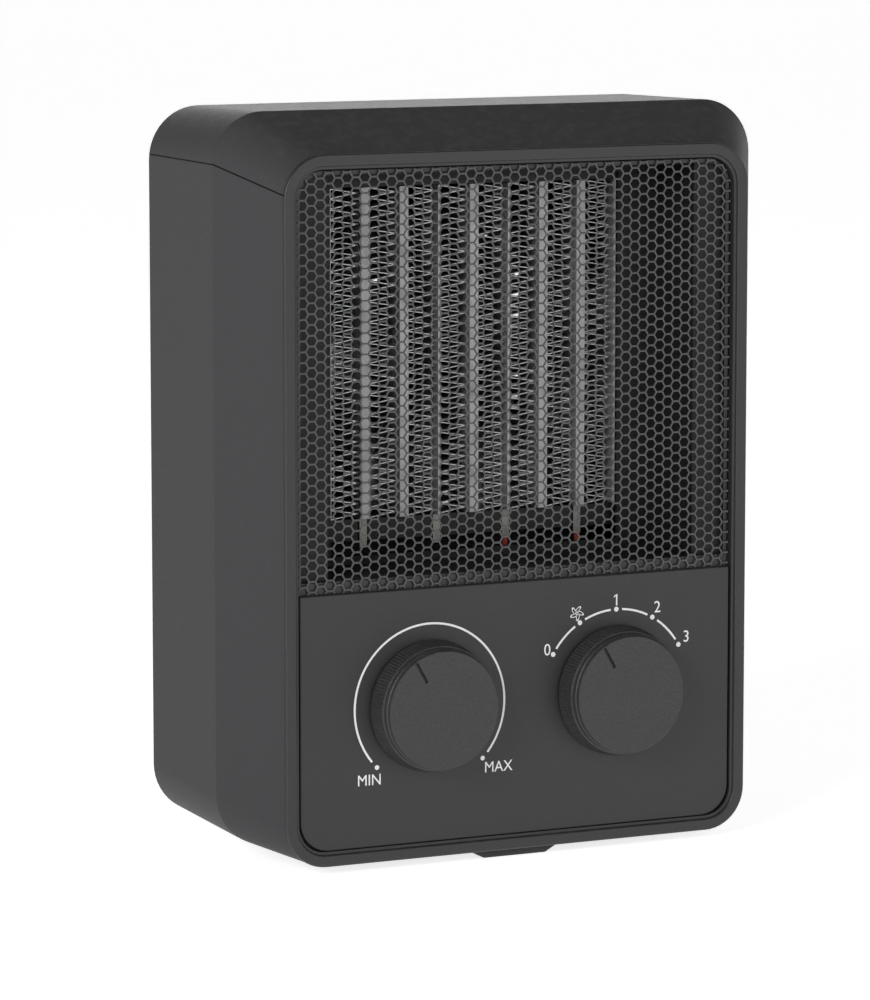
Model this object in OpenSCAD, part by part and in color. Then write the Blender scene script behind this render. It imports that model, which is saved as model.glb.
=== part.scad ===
// Ceramic space heater: a free-standing fan heater with a mesh front, a PTC heating
// element, an axial fan, two rotary controls and a tip-over switch.
// Millimetres, +Z up, the front faces -Y. The origin is on the table, under the middle.
// Depths are counted backwards from the plane of the front rim.

/* [Overall] */
// Width of the shell at its widest line
body_w = 200; // [190:1:240]
// Height of the shell's top above the table
body_h = 252; // [246:1:304]
// Depth from the front rim to the back of the rear cover
body_d = 108; // [107:1:130]

/* [Shell] */
// Wall thickness of the shell
wall = 2.5; // [2:0.1:3.2]
// How far each side of the shell narrows along the bevel
bevel_side = 14.2; // [10:0.1:16]
// How far the top of the shell drops along the bevel
bevel_top = 13; // [10:0.1:14]
// Depth at which the bevel ends and the sleeve begins
bevel_depth = 26; // [16:1:34]
// Length of the straight sleeve behind the bevel
sleeve_len = 58; // [56:1:72]
// How far the sleeve narrows towards its rear edge, each side
draft = 1; // [0.2:0.1:1.5]
// Height of the rim's lower edge above the table
rim_lift = 3; // [2.5:0.1:4]
// Height of the sleeve's underside above the table
sleeve_lift = 7; // [5:0.1:9]
// Corner radius of the rim
rim_r = 14.5; // [12:0.5:20]
// Corner radius of the sleeve
sleeve_r = 18; // [16:0.5:24]
// Radius of the rubber feet
foot_r = 7; // [6:0.5:8]
// Distance from the case's side to the middle of a rubber foot
foot_in = 45; // [40:1:48]

/* [Front] */
// Width of the visible rim around the front
rim_band = 4; // [3:0.1:5]
// Depth of the rim's lip in front of the shell
rim_lip = 1.2; // [0.8:0.1:2]
// How far the inner ledge reaches in from the rim's outside
ledge_in = 7; // [6:0.1:9]
// Depth of the front frame
frame_depth = 6; // [5.5:0.1:8]
// Height of the joint between grille and control panel
split_z = 94; // [88:1:100]
// Height of the bar behind that joint
bar_h = 8; // [6:0.5:10]
// Thickness of the grille sheet
grille_t = 1; // [0.6:0.1:1.4]
// Distance between neighbouring grille holes
mesh_pitch = 9.6; // [8:0.1:16]
// Metal left between two grille holes
mesh_web = 1.6; // [1:0.1:3]
// Thickness of the control panel
panel_t = 2; // [1.6:0.1:2.3]
// Clearance of parts that drop into the frame
fit = 0.2; // [0.1:0.05:0.3]

/* [Controls] */
// Sideways place of the thermostat knob
thermostat_x = -33; // [-40:0.5:-30]
// Sideways place of the mode knob
mode_x = 36.8; // [32:0.1:44]
// Height of both knobs' axes
knob_z = 54.4; // [48:0.1:60]
// Radius of a knob at its skirt
knob_r = 22.3; // [18:0.1:24]
// Radius of a knob at its face
knob_face_r = 20; // [16:0.1:22]
// How far a knob's face stands in front of the rim
knob_proud = 10; // [8:0.5:14]
// Gap between a knob's skirt and the panel
knob_gap = 0.6; // [0.4:0.1:1]
// Radius of the printed scales
scale_r = 27.6; // [26:0.1:29]
// Radius of a control shaft
shaft_r = 3; // [2.5:0.1:3.2]
// Radius of a control's threaded bush
bush_r = 4.5; // [4:0.1:5.5]
// Radial running clearance of a shaft
run_gap = 0.05; // [0.02:0.01:0.1]

/* [Heating element] */
// Height of the fins
fin_h = 112; // [90:1:114]
// Width of one column of fins
fin_w = 11; // [8:0.1:11.1]
// Thickness of one heating tube
tube_t = 3.3; // [2.4:0.1:3.5]
// Depth of the element from front to back
element_t = 16; // [12:0.5:17]
// Depth at which the element begins
element_depth = 36; // [34:0.5:38]
// Height of the underside of the fins
element_z = 113; // [111:0.5:115]

/* [Fan] */
// Radius of the impeller
fan_r = 53; // [46:0.5:56]
// Gap between the blades and the shroud
fan_gap = 2; // [1:0.5:4]
// Radius of the impeller's hub
hub_r = 14; // [11:0.5:17]
// Number of blades
blades = 7; // [5:1:9]
// Axial length of the impeller
fan_len = 14; // [10:0.5:15]
// Radius of the motor shaft
motor_shaft_r = 1.6; // [1.2:0.1:2.5]
// Length of the stator stack
stack_len = 14; // [10:0.5:14]
// Radius of the rotor
rotor_r = 11.5; // [9:0.5:13]

/* [Rear] */
// How far the raised back is set in from the sleeve
back_inset = 12; // [11:0.5:16]
// Corner radius of the raised back
back_r = 16; // [8:0.5:20]
// Wall of the rear cover
cover_wall = 2.2; // [1.8:0.1:2.6]
// Height of one air slot
slot_h = 3; // [2:0.1:4]
// Distance from one air slot to the next
slot_pitch = 7; // [6:0.5:10]
// Bore of the cord gland
gland_r = 4; // [3:0.1:5]
// Radius of a self-tapping cover screw
screw_r = 1.5; // [1.2:0.1:1.8]
// Radius of the tip-over plunger
plunger_r = 4; // [3:0.1:4.5]
// Travel of the tip-over plunger
plunger_travel = 4; // [2:0.5:4]

/* [Hidden] */
$fn = 64;
e = 0.01;

// Shell outline
rim_w = body_w - 2 * bevel_side;
rim_top = body_h - bevel_top;
sleeve_end = bevel_depth + sleeve_len;
rear_w = body_w - 2 * draft;
rear_lift = sleeve_lift + draft;
rear_top = body_h - draft;
// Front
ledge_depth = frame_depth - 2.5;
grille_depth = ledge_depth - grille_t;
panel_depth = ledge_depth - panel_t;
window_r = 5;
// The shell's floor rises behind the rim, and the frame's spigot clears it
spigot_rise = ceil(10 * (frame_depth - rim_lip) * (sleeve_lift - rim_lift) / (bevel_depth - rim_lip)) / 10;
mesh_edge = 2;
print_t = 0.15;
print_w = 0.75;
dot_r = 0.8;
thermostat_sweep = 135;
mode_step = 30;
// Controls
knob_len = panel_depth - knob_gap + knob_proud;
bush_out = 3;
nut_t = 2;
nut_r = 6.4;
hub_start = 3.4;
hub_rad = 5.5;
shaft_flat = 1;
shaft_in = 12;
control_w = 24;
control_t = 11.5;
control_back = ledge_depth + control_t;
tab_w = 4.8;
tab_t = 0.8;
tab_len = 8;
// Duct
duct_w = 136;
duct_wall = 1.6;
duct_z0 = split_z + bar_h / 2;
duct_z1 = rim_top - ledge_in;
baffle_t = 1.5;
baffle_depth = element_depth - baffle_t;
duct_end = element_depth + element_t + 4;
// Element
plate_t = 0.9;
end_t = 0.8;
columns = 8;
fin_t = 0.5;
folds = 16;
element_w = columns * fin_w + 5 * tube_t + 2 * plate_t + 2 * end_t;
fins_top = element_z + fin_h;
frame_ear = 3;
frame_bar = 5;
terminal_z = 10;
terminal_w = 2.8;
stone_gap = 0.5;
tube_wall = 0.5;
wire_r = 0.9;
terminal_depth = element_depth + 2.2;
wire_depth = terminal_depth + tab_t / 2;
// Fan and motor
fan_z = (duct_z0 + duct_z1) / 2;
fan_hole_r = fan_r + fan_gap;
ring_t = 2.5;
plate_depth = 2.5;
fan_start = duct_end + plate_depth + 1;
ring_end = fan_start + fan_len + 2;
spider_t = 2.5;
bracket_start = ring_end + spider_t;
boss_len = 4.5;
bracket_t = 3;
stack_start = bracket_start + boss_len + bracket_t;
stack_end = stack_start + stack_len;
rear_boss = 2.5;
shaft_end = stack_end + bracket_t + rear_boss + 0.5;
rear_gap = 0.3;
// The case gets deeper when the fan and motor need it
total_d = max(body_d, shaft_end + rear_gap + cover_wall);
bearing_r = 4;
boss_r = 7;
motor_half = 24;
ear_x = 20;
// Rear
cover_in = total_d - cover_wall;
front_y = knob_proud - (total_d + knob_proud) / 2;
flange_t = 2.5;
boss_in = 8;
boss_z = [48, body_h - 48];
gland_x = 60;
gland_z = 35;
gland_wall = 2.4;
floor_pad_z = 13;
tip_x = -50;
tip_depth = 62;
tip_w = 18;
tip_top = 42;
collar_z = floor_pad_z + 3 + plunger_travel;
// The collar stops just short of the chamber's floor
seat_gap = 0.05;
block_x = 0;
block_depth = 62;

function yd(d) = front_y + d;

// A 2D shape in X and Z, extruded between two depths
module between(d0, d1) {
    translate([0, yd(d1), 0]) rotate([90, 0, 0]) linear_extrude(d1 - d0) children();
}

// A rounded rectangle with true arcs, centred on X
module rounded(w, z0, z1, r) {
    translate([-w / 2 + r, z0]) square([w - 2 * r, z1 - z0]);
    translate([-w / 2, z0 + r]) square([w, z1 - z0 - 2 * r]);
    for (x = [-1, 1], z = [z0 + r, z1 - r]) translate([x * (w / 2 - r), z]) circle(r);
}

module rim_outline(s) {
    rounded(rim_w - 2 * s, rim_lift + s, rim_top - s, rim_r - s);
}

module break_outline(s) {
    rounded(body_w - 2 * s, sleeve_lift + s, body_h - s, sleeve_r - s);
}

module rear_outline(s) {
    rounded(rear_w - 2 * s, rear_lift + s, rear_top - s, sleeve_r - s);
}

module back_outline(s) {
    rounded(rear_w - 2 * back_inset - 2 * s, rear_lift + back_inset + s, rear_top - back_inset - s, back_r - s);
}

// The shell's solid shape set in by s; it runs past both ends by over
module shell_form(s, over) {
    hull($fn = 48) {
        between(rim_lip - over, rim_lip + e, $fn = 48) rim_outline(s, $fn = 48);
        between(bevel_depth - e, bevel_depth) break_outline(s, $fn = 48);
    }
    hull($fn = 48) {
        between(bevel_depth - e, bevel_depth) break_outline(s, $fn = 48);
        between(sleeve_end - e, sleeve_end + over) rear_outline(s, $fn = 48);
    }
}

module tube_z(r, z0, z1) {
    translate([0, 0, z0]) cylinder(r = r, h = z1 - z0);
}

// A cylinder along the depth, at x and z
module rod_y(x, z, r, d0, d1) {
    translate([x, yd(d1), z]) rotate([90, 0, 0]) cylinder(r = r, h = d1 - d0);
}

module box(x0, x1, d0, d1, z0, z1) {
    translate([x0, yd(d0), z0]) cube([x1 - x0, d1 - d0, z1 - z0]);
}

// Shell ------------------------------------------------------------------

module main_shell() {
    color("#2b2b2d") difference() {
        union() {
            difference() {
                shell_form(0, 0);
                shell_form(wall, 1);
            }
            for (s = [-1, 1], z = boss_z) {
                rod_y(s * (rear_w / 2 - boss_in), z, 4, sleeve_end - 24, sleeve_end - flange_t);
                box(min(s * (rear_w / 2 - boss_in), s * (rear_w / 2 - wall / 2)),
                    max(s * (rear_w / 2 - boss_in), s * (rear_w / 2 - wall / 2)),
                    sleeve_end - 24, sleeve_end - flange_t, z - 1.5, z + 1.5);
            }
            box(tip_x - tip_w / 2, tip_x + tip_w / 2, tip_depth - tip_w / 2, tip_depth + tip_w / 2,
                rear_lift + wall / 2, floor_pad_z);
            box(block_x - 17, block_x + 17, block_depth - 9, block_depth + 9,
                rear_lift + wall / 2, floor_pad_z);
        }
        for (s = [-1, 1], z = boss_z)
            rod_y(s * (rear_w / 2 - boss_in), z, screw_r + run_gap / 2, sleeve_end - 18, sleeve_end);
        translate([tip_x, yd(tip_depth), 0]) tube_z(plunger_r + 0.5, 0, floor_pad_z + 1);
    }
}

module front_foot() {
    color("#242426") difference() {
        between(4, 16) polygon([[-11.5, 0], [11.5, 0], [22.5, rim_lift + 3], [-22.5, rim_lift + 3]]);
        shell_form(0, 0);
    }
}

module rubber_feet() {
    color("#1c1c1d") difference() {
        for (x = [-1, 1], d = [bevel_depth + 8, sleeve_end - 8.5])
            translate([x * (body_w / 2 - foot_in), yd(d), 0]) tube_z(foot_r, 0, sleeve_lift + 3);
        shell_form(0, 0);
    }
}

// Front ------------------------------------------------------------------

// The frame's outline where it plugs into the shell
module spigot_outline() {
    rounded(rim_w - 2 * (wall + fit), rim_lift + wall + fit + spigot_rise,
        rim_top - wall - fit, rim_r - wall - fit);
}

module front_frame() {
    color("#303032") {
        between(0, rim_lip) difference() {
            rim_outline(0);
            rim_outline(rim_band);
        }
        between(rim_lip, ledge_depth) difference() {
            spigot_outline();
            rim_outline(rim_band);
        }
        between(ledge_depth, frame_depth) difference() {
            spigot_outline();
            rounded(rim_w - 2 * ledge_in, split_z + bar_h / 2, rim_top - ledge_in, window_r);
            rounded(rim_w - 2 * ledge_in, rim_lift + ledge_in, split_z - bar_h / 2, window_r);
        }
    }
}

module opening_part(z0, z1) {
    intersection() {
        rim_outline(rim_band + fit);
        translate([-rim_w / 2, z0]) square([rim_w, z1 - z0]);
    }
}

module grille() {
    column = mesh_pitch * sqrt(3) / 2;
    hole_r = (mesh_pitch - mesh_web) / sqrt(3);
    half_w = rim_w / 2 - rim_band - fit - mesh_edge;
    low = split_z + fit / 2 + mesh_edge;
    high = rim_top - rim_band - fit - mesh_edge;
    corner = rim_r - rim_band - mesh_edge;
    columns_side = floor((half_w - hole_r) / column);
    rows = ceil((high - low) / mesh_pitch);
    color("#1a1a1b") between(grille_depth, ledge_depth) difference() {
        opening_part(split_z + fit / 2, rim_top);
        for (i = [-columns_side : columns_side], k = [0 : rows]) {
            x = i * column;
            z = low + mesh_pitch / 2 + (k + abs(i % 2) / 2) * mesh_pitch;
            in_corner = abs(x) > half_w - corner && z > high - corner
                && norm([abs(x) - half_w + corner, z - high + corner]) > corner - hole_r;
            if (z + mesh_pitch / 2 < high && !in_corner) translate([x, z]) circle(hole_r, $fn = 6);
        }
    }
}

module control_panel() {
    color("#2d2d2f") difference() {
        between(panel_depth, ledge_depth) opening_part(0, split_z - fit / 2);
        for (x = [thermostat_x, mode_x]) rod_y(x, knob_z, bush_r + 0.3, 0, frame_depth);
    }
}

// A ring sector between two angles, counted clockwise from the top
module arc(r, w, a0, a1) {
    steps = ceil((a1 - a0) / 15);
    intersection() {
        difference() {
            circle(r + w / 2);
            circle(r - w / 2);
        }
        polygon(concat([[0, 0]],
            [for (i = [0 : steps]) let(a = a0 + (a1 - a0) * i / steps) 2 * r * [sin(a), cos(a)]]));
    }
}

module dial_markings() {
    dot_gap = 5;
    color("white") between(panel_depth - print_t, panel_depth) {
        translate([thermostat_x, knob_z]) {
            for (s = [-1, 1]) rotate(s * thermostat_sweep) translate([0, scale_r]) circle(dot_r, $fn = 24);
            arc(scale_r, print_w, dot_gap + 1 - thermostat_sweep, thermostat_sweep - dot_gap - 1);
        }
        translate([mode_x, knob_z]) {
            for (i = [-2 : 2]) rotate(i * mode_step) translate([0, scale_r]) circle(dot_r, $fn = 24);
            for (i = [-2 : 1]) arc(scale_r, print_w, i * mode_step + dot_gap, (i + 1) * mode_step - dot_gap);
        }
    }
}

// Controls ---------------------------------------------------------------

// The round shaft's section with its flat, grown by g
module d_section(g) {
    intersection() {
        circle(shaft_r + g);
        translate([-2 * shaft_r, -2 * shaft_r]) square([4 * shaft_r, 3 * shaft_r - shaft_flat + g]);
    }
}

module knob(x) {
    cavity_r = knob_face_r - 3.5;
    cavity = knob_len - 3;
    color("#2a2a2c") translate([x, yd(panel_depth - knob_gap), knob_z]) rotate([90, 0, 0]) difference() {
        rotate_extrude() polygon([
            [0, hub_start], [hub_rad, hub_start], [hub_rad, cavity], [cavity_r, cavity],
            [cavity_r + 1, 0], [knob_r - 0.4, 0], [knob_r, 0.6], [knob_face_r + 0.8, knob_len - 1],
            [knob_face_r, knob_len - 0.3], [knob_face_r - 0.6, knob_len], [0, knob_len]]);
        translate([0, 0, hub_start - 1]) linear_extrude(cavity - hub_start + 1) d_section(run_gap / 2);
        rotate(mode_step) translate([-0.5, knob_face_r - 8.5, knob_len - 0.5]) cube([1, 8.5, 1]);
    }
}

module control_shaft(x) {
    color("silver") translate([x, yd(shaft_in), knob_z]) rotate([90, 0, 0])
        linear_extrude(shaft_in - panel_depth + knob_len - 3.4) d_section(0);
}

// A control's housing with its bush; the shaft turns in a blind bore
module control_housing(x, colour) {
    color(colour) difference() {
        union() {
            box(x - control_w / 2, x + control_w / 2, ledge_depth, control_back,
                knob_z - control_w / 2, knob_z + control_w / 2);
            rod_y(x, knob_z, bush_r, panel_depth - bush_out, control_back - 1);
        }
        rod_y(x, knob_z, shaft_r + run_gap, panel_depth - bush_out - 1, shaft_in + 0.5);
    }
}

module bush_nut(x) {
    color("silver") difference() {
        translate([x, yd(panel_depth), knob_z]) rotate([90, 0, 0]) cylinder(r = nut_r, h = nut_t, $fn = 6);
        rod_y(x, knob_z, bush_r + run_gap / 2, panel_depth - nut_t - 1, panel_depth + 1);
    }
}

module tab_row(x, z, count, step) {
    color("goldenrod") for (i = [0 : count - 1]) {
        tab_x = x + (i - (count - 1) / 2) * step;
        box(tab_x - tab_w / 2, tab_x + tab_w / 2, control_back, control_back + tab_len,
            z - tab_t / 2, z + tab_t / 2);
    }
}

module thermostat_knob() { knob(thermostat_x); }
module thermostat_shaft() { control_shaft(thermostat_x); }
module thermostat_body() { control_housing(thermostat_x, "#d8d2c4"); }
module thermostat_nut() { bush_nut(thermostat_x); }
module thermostat_terminals() { tab_row(thermostat_x, knob_z - 9, 2, 12); }
module mode_knob() { knob(mode_x); }
module mode_shaft() { control_shaft(mode_x); }
module switch_body() { control_housing(mode_x, "#1f1f22"); }
module switch_nut() { bush_nut(mode_x); }
module switch_terminals() {
    tab_row(mode_x, knob_z + 8, 3, 8);
    tab_row(mode_x, knob_z - 8, 2, 12);
}

module thermostat_bimetal() {
    strip_z = knob_z + 7;
    color("#b08d57") {
        box(thermostat_x - 11, thermostat_x - 7, control_back, control_back + 6, strip_z - 2, strip_z + 2);
        box(thermostat_x - 11, thermostat_x + 11, control_back + 6, control_back + 6.8,
            strip_z - 2.5, strip_z + 2.5);
        rod_y(thermostat_x + 9, strip_z, 1.5, control_back + 3, control_back + 6);
    }
}

// Air duct and heating element -------------------------------------------

module inner_duct() {
    half = duct_w / 2;
    flange = rim_w / 2 - ledge_in + 0.8;
    color("#3a3a3c") difference() {
        union() {
            box(-half - duct_wall, half + duct_wall, frame_depth, duct_end, duct_z0 - duct_wall,
                duct_z1 + duct_wall);
            box(-flange, flange, frame_depth, frame_depth + duct_wall, duct_z0 - duct_wall,
                duct_z1 + duct_wall);
        }
        box(-half, half, frame_depth - 1, baffle_depth, duct_z0, duct_z1);
        box(-half, half, element_depth, duct_end + 1, duct_z0, duct_z1);
        box(-element_w / 2 - fit, element_w / 2 + fit, baffle_depth - 1, element_depth + 1,
            element_z - terminal_z - 2, fins_top + frame_bar / 2);
        for (x = terminal_x)
            translate([x, yd(wire_depth), 0]) tube_z(wire_r + 0.6, duct_z0 - duct_wall - 1, duct_z0 + 1);
        for (x = [cutout_x, fuse_x])
            translate([x, yd(element_depth + 8), 0])
                tube_z(wire_r + 0.6, duct_z0 - duct_wall - 1, duct_z0 + 1);
    }
}

// The cut-out and the fuse sit beside the element
cutout_r = 6.5;
cutout_x = element_w / 2 + cutout_r + 0.7;
fuse_x = -cutout_x;
// Places of the tubes, of the thin plates between fins, and of the fin columns
plate_x = tube_t / 2 + fin_w + plate_t / 2;
inner_tube_x = plate_x + plate_t / 2 + fin_w + tube_t / 2;
outer_tube_x = inner_tube_x + tube_t + fin_w;
end_x = outer_tube_x + tube_t / 2 + fin_w + end_t / 2;
tube_x = [-outer_tube_x, -inner_tube_x, 0, inner_tube_x, outer_tube_x];
fin_x = [
    tube_t / 2 + fin_w / 2, plate_x + plate_t / 2 + fin_w / 2,
    inner_tube_x + tube_t / 2 + fin_w / 2, outer_tube_x + tube_t / 2 + fin_w / 2
];
terminal_x = [-outer_tube_x, -plate_x, plate_x, outer_tube_x];

module element_tubes() {
    color("#b9bcc0") for (x = tube_x) difference() {
        box(x - tube_t / 2, x + tube_t / 2, element_depth, element_depth + element_t, element_z, fins_top);
        box(x - tube_t / 2 + tube_wall, x + tube_t / 2 - tube_wall, element_depth + tube_wall,
            element_depth + element_t - tube_wall, element_z - 1, fins_top + 1);
    }
}

module ceramic_stones() {
    count = 4;
    step = fin_h / count;
    color("#cfc9bb") for (x = tube_x, i = [0 : count - 1])
        box(x - tube_t / 2 + tube_wall, x + tube_t / 2 - tube_wall, element_depth + 2 * tube_wall,
            element_depth + element_t - 2 * tube_wall,
            element_z + i * step + stone_gap, element_z + (i + 1) * step - stone_gap);
}

// One strip of aluminium folded to and fro, flat where it meets its neighbours
module fin_column() {
    rise = (fin_h - fin_t) / (2 * folds);
    inner_x = fin_w / 2 - fin_t / 2 * fin_w / rise;
    function edge(side) = [for (k = [1 : 2 * folds - 1]) each (k % 2 == 0) == (side < 0)
        ? [[side * fin_w / 2, k * rise], [side * fin_w / 2, k * rise + fin_t]]
        : [[-side * inner_x, k * rise + fin_t / 2]]];
    left = edge(-1);
    polygon(concat(
        [[-fin_w / 2, fin_t], [-fin_w / 2, 0]], edge(1),
        [[-fin_w / 2, fin_h], [-fin_w / 2, fin_h - fin_t]],
        [for (i = [len(left) - 1 : -1 : 0]) left[i]]));
}

module element_fins() {
    color("#c8cbcf") for (s = [-1, 1], x = fin_x)
        between(element_depth + 1, element_depth + element_t - 1) translate([s * x, element_z]) fin_column();
}

module element_plates() {
    color("#b9bcc0") {
        for (x = [-plate_x, plate_x])
            box(x - plate_t / 2, x + plate_t / 2, element_depth, element_depth + element_t, element_z, fins_top);
        for (x = [-end_x, end_x])
            box(x - end_t / 2, x + end_t / 2, element_depth, element_depth + element_t, element_z, fins_top);
    }
}

module element_frame_bottom() {
    color("#1d1d1f") difference() {
        box(-element_w / 2 - frame_ear, element_w / 2 + frame_ear, terminal_depth + tab_t,
            element_depth + element_t, element_z - terminal_z + 2, element_z);
    }
}

module element_frame_top() {
    color("#1d1d1f")
        box(-element_w / 2 - frame_ear, element_w / 2 + frame_ear, element_depth,
            element_depth + element_t, fins_top, fins_top + frame_bar);
}

module element_terminals() {
    color("#d9d2b0") for (x = terminal_x)
        box(x - terminal_w / 2, x + terminal_w / 2, terminal_depth, terminal_depth + tab_t,
            element_z - terminal_z, element_z);
}

module thermal_cutout() {
    cut_z = fins_top - 26;
    color("#8d8f92") rod_y(cutout_x, cut_z, cutout_r, element_depth, element_depth + 6);
    color("goldenrod") for (s = [-1, 1])
        box(cutout_x + s * 3 - 1.5, cutout_x + s * 3 + 1.5, element_depth + 6, element_depth + 12,
            cut_z - tab_t / 2, cut_z + tab_t / 2);
}

module thermal_fuse() {
    color("#c9c3a8") translate([fuse_x, yd(element_depth + 2.2), fins_top - 34]) {
        cylinder(r = 2.2, h = 12);
        translate([0, 0, -4]) cylinder(r = 0.5, h = 4);
        translate([0, 0, 12]) cylinder(r = 0.5, h = 4);
    }
}

// Fan and motor ----------------------------------------------------------

module fan_shroud() {
    half = duct_w / 2 + duct_wall;
    color("#2f2f31") difference() {
        union() {
            box(-half, half, duct_end, duct_end + plate_depth, duct_z0 - duct_wall, duct_z1 + duct_wall);
            rod_y(0, fan_z, fan_hole_r + ring_t, duct_end, ring_end);
        }
        rod_y(0, fan_z, fan_hole_r, duct_end - 1, ring_end + 1);
    }
}

module motor_spider() {
    color("#2f2f31") between(ring_end, bracket_start) translate([0, fan_z]) difference() {
        union() {
            difference() {
                circle(fan_hole_r + ring_t);
                circle(fan_hole_r - 1);
            }
            circle(ear_x + 6);
            for (a = [45 : 90 : 315]) rotate(a) translate([ear_x, -3]) square([fan_hole_r - ear_x, 6]);
        }
        circle(boss_r - 2);
        for (s = [-1, 1]) translate([s * ear_x, 0]) circle(screw_r + 0.2);
    }
}

module fan_impeller() {
    pitch_angle = 32;
    chord = (fan_len - 1.6) / sin(pitch_angle);
    mid = fan_start + fan_len / 2;
    color("#3c3c3f") difference() {
        union() {
            rod_y(0, fan_z, hub_r, fan_start, fan_start + fan_len);
            intersection() {
                rod_y(0, fan_z, fan_r, fan_start, fan_start + fan_len);
                for (i = [0 : blades - 1])
                    translate([0, yd(mid), fan_z]) rotate([0, i * 360 / blades, 0])
                        translate([hub_r - 2, 0, 0]) rotate([pitch_angle, 0, 0])
                            translate([0, -0.8, -chord / 2]) cube([fan_r, 1.6, chord]);
            }
        }
        rod_y(0, fan_z, hub_r - 2.5, fan_start + 2.5, fan_start + fan_len - 6);
        rod_y(0, fan_z, motor_shaft_r + run_gap / 2, fan_start + 2, ring_end + 10);
    }
}

module motor_shaft() {
    color("silver") rod_y(0, fan_z, motor_shaft_r, fan_start + 3, shaft_end);
}

module motor_rotor() {
    color("#8f9194") difference() {
        rod_y(0, fan_z, rotor_r, stack_start + 0.5, stack_end - 0.5);
        rod_y(0, fan_z, motor_shaft_r + run_gap / 2, stack_start - 1, stack_end + 1);
    }
}

yoke_z0 = fan_z + 29;
yoke_z1 = fan_z + 38;

module motor_stator() {
    color("#7d7f82") difference() {
        box(-motor_half, motor_half, stack_start, stack_end, fan_z - 16, yoke_z1);
        rod_y(0, fan_z, rotor_r + 0.4, stack_start - 1, stack_end + 1);
        box(-15, 15, stack_start - 1, stack_end + 1, fan_z + 16, yoke_z0);
        for (s = [-1, 1]) rod_y(s * ear_x, fan_z, screw_r + 0.2, stack_start - 1, stack_end + 1);
    }
}

module motor_coil() {
    color("#b5651d") difference() {
        box(-13, 13, stack_start - 4, stack_end + 3, yoke_z0 - 5, yoke_z1 + 5);
        box(-14, 14, stack_start, stack_end, yoke_z0, yoke_z1);
    }
}

module motor_bracket(boss0, boss1, plate0, plate1, spacers) {
    color("#a9acb0") difference() {
        union() {
            box(-motor_half, motor_half, plate0, plate1, fan_z - 8, fan_z + 8);
            rod_y(0, fan_z, boss_r, boss0, boss1);
            if (spacers) for (s = [-1, 1]) rod_y(s * ear_x, fan_z, 4, boss0, boss1);
        }
        rod_y(0, fan_z, bearing_r, min(boss0, plate0) - 1, max(boss1, plate1) + 1);
        for (s = [-1, 1])
            rod_y(s * ear_x, fan_z, screw_r + 0.2, min(boss0, plate0) - 1, max(boss1, plate1) + 1);
    }
}

module motor_bracket_front() {
    motor_bracket(bracket_start, stack_start - bracket_t, stack_start - bracket_t, stack_start, true);
}

module motor_bracket_rear() {
    motor_bracket(stack_end + bracket_t, stack_end + bracket_t + rear_boss, stack_end, stack_end + bracket_t, false);
}

module motor_bearings() {
    color("#c49a45") difference() {
        union() {
            rod_y(0, fan_z, bearing_r, bracket_start, stack_start);
            rod_y(0, fan_z, bearing_r, stack_end, stack_end + bracket_t + rear_boss);
        }
        rod_y(0, fan_z, motor_shaft_r + run_gap / 2, bracket_start - 1, shaft_end + 1);
    }
}

module motor_screws() {
    color("silver") for (s = [-1, 1]) {
        rod_y(s * ear_x, fan_z, screw_r, ring_end, stack_end + bracket_t);
        rod_y(s * ear_x, fan_z, 2.8, stack_end + bracket_t, stack_end + bracket_t + 2);
    }
}

// Rear -------------------------------------------------------------------

module rear_cover() {
    slots = floor((body_h - 2 * 62) / slot_pitch);
    first = (body_h - (slots - 1) * slot_pitch) / 2 + 14;
    slot_w = 52;
    color("#29292b") difference() {
        union() {
            between(sleeve_end - flange_t, sleeve_end) rear_outline(wall + fit);
            between(sleeve_end - flange_t, total_d) back_outline(0);
            box(gland_x - 14, gland_x + 14, cover_in - 14, cover_in + 1, gland_z - 13, gland_z + gland_r);
        }
        difference() {
            between(sleeve_end - flange_t - 1, cover_in) back_outline(cover_wall);
            box(gland_x - 14, gland_x + 14, cover_in - 14, cover_in + 1, gland_z - 13, gland_z + gland_r);
        }
        box(gland_x - 6, gland_x + 6, cover_in - 15, cover_in - 4.6, gland_z - 5, gland_z + gland_r + 1);
        for (s = [-1, 1], i = [0 : slots - 1])
            box(s * (slot_w / 2 + 3) - slot_w / 2, s * (slot_w / 2 + 3) + slot_w / 2,
                cover_in - 1, total_d + 1, first + i * slot_pitch - slot_h / 2, first + i * slot_pitch + slot_h / 2);
        for (s = [-1, 1], z = boss_z)
            rod_y(s * (rear_w / 2 - boss_in), z, screw_r + 0.3, sleeve_end - flange_t - 1, sleeve_end + 1);
        rod_y(gland_x, gland_z, gland_r + gland_wall, cover_in - 5, total_d + 1);
        for (s = [-1, 1])
            translate([gland_x + s * 10, yd(cover_in - 9), 0])
                tube_z(screw_r + run_gap / 2, gland_z - 8, gland_z + gland_r + 1);
    }
}

module cover_screws() {
    color("silver") for (s = [-1, 1], z = boss_z) {
        rod_y(s * (rear_w / 2 - boss_in), z, screw_r, sleeve_end - 17, sleeve_end);
        rod_y(s * (rear_w / 2 - boss_in), z, 3, sleeve_end, sleeve_end + 1.8);
    }
}

module cord_gland() {
    color("#1b1b1c") difference() {
        rod_y(gland_x, gland_z, gland_r + gland_wall, cover_in - 4.6, total_d);
        rod_y(gland_x, gland_z, gland_r, cover_in - 6, total_d + 1);
    }
}

module cord_clamp() {
    top = gland_z + gland_r;
    color("#d6d3cb") difference() {
        box(gland_x - 13, gland_x + 13, cover_in - 13, cover_in - 5.5, top, top + 3);
        for (s = [-1, 1])
            translate([gland_x + s * 10, yd(cover_in - 9), 0]) tube_z(screw_r + 0.2, top - 1, top + 4);
    }
}

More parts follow.
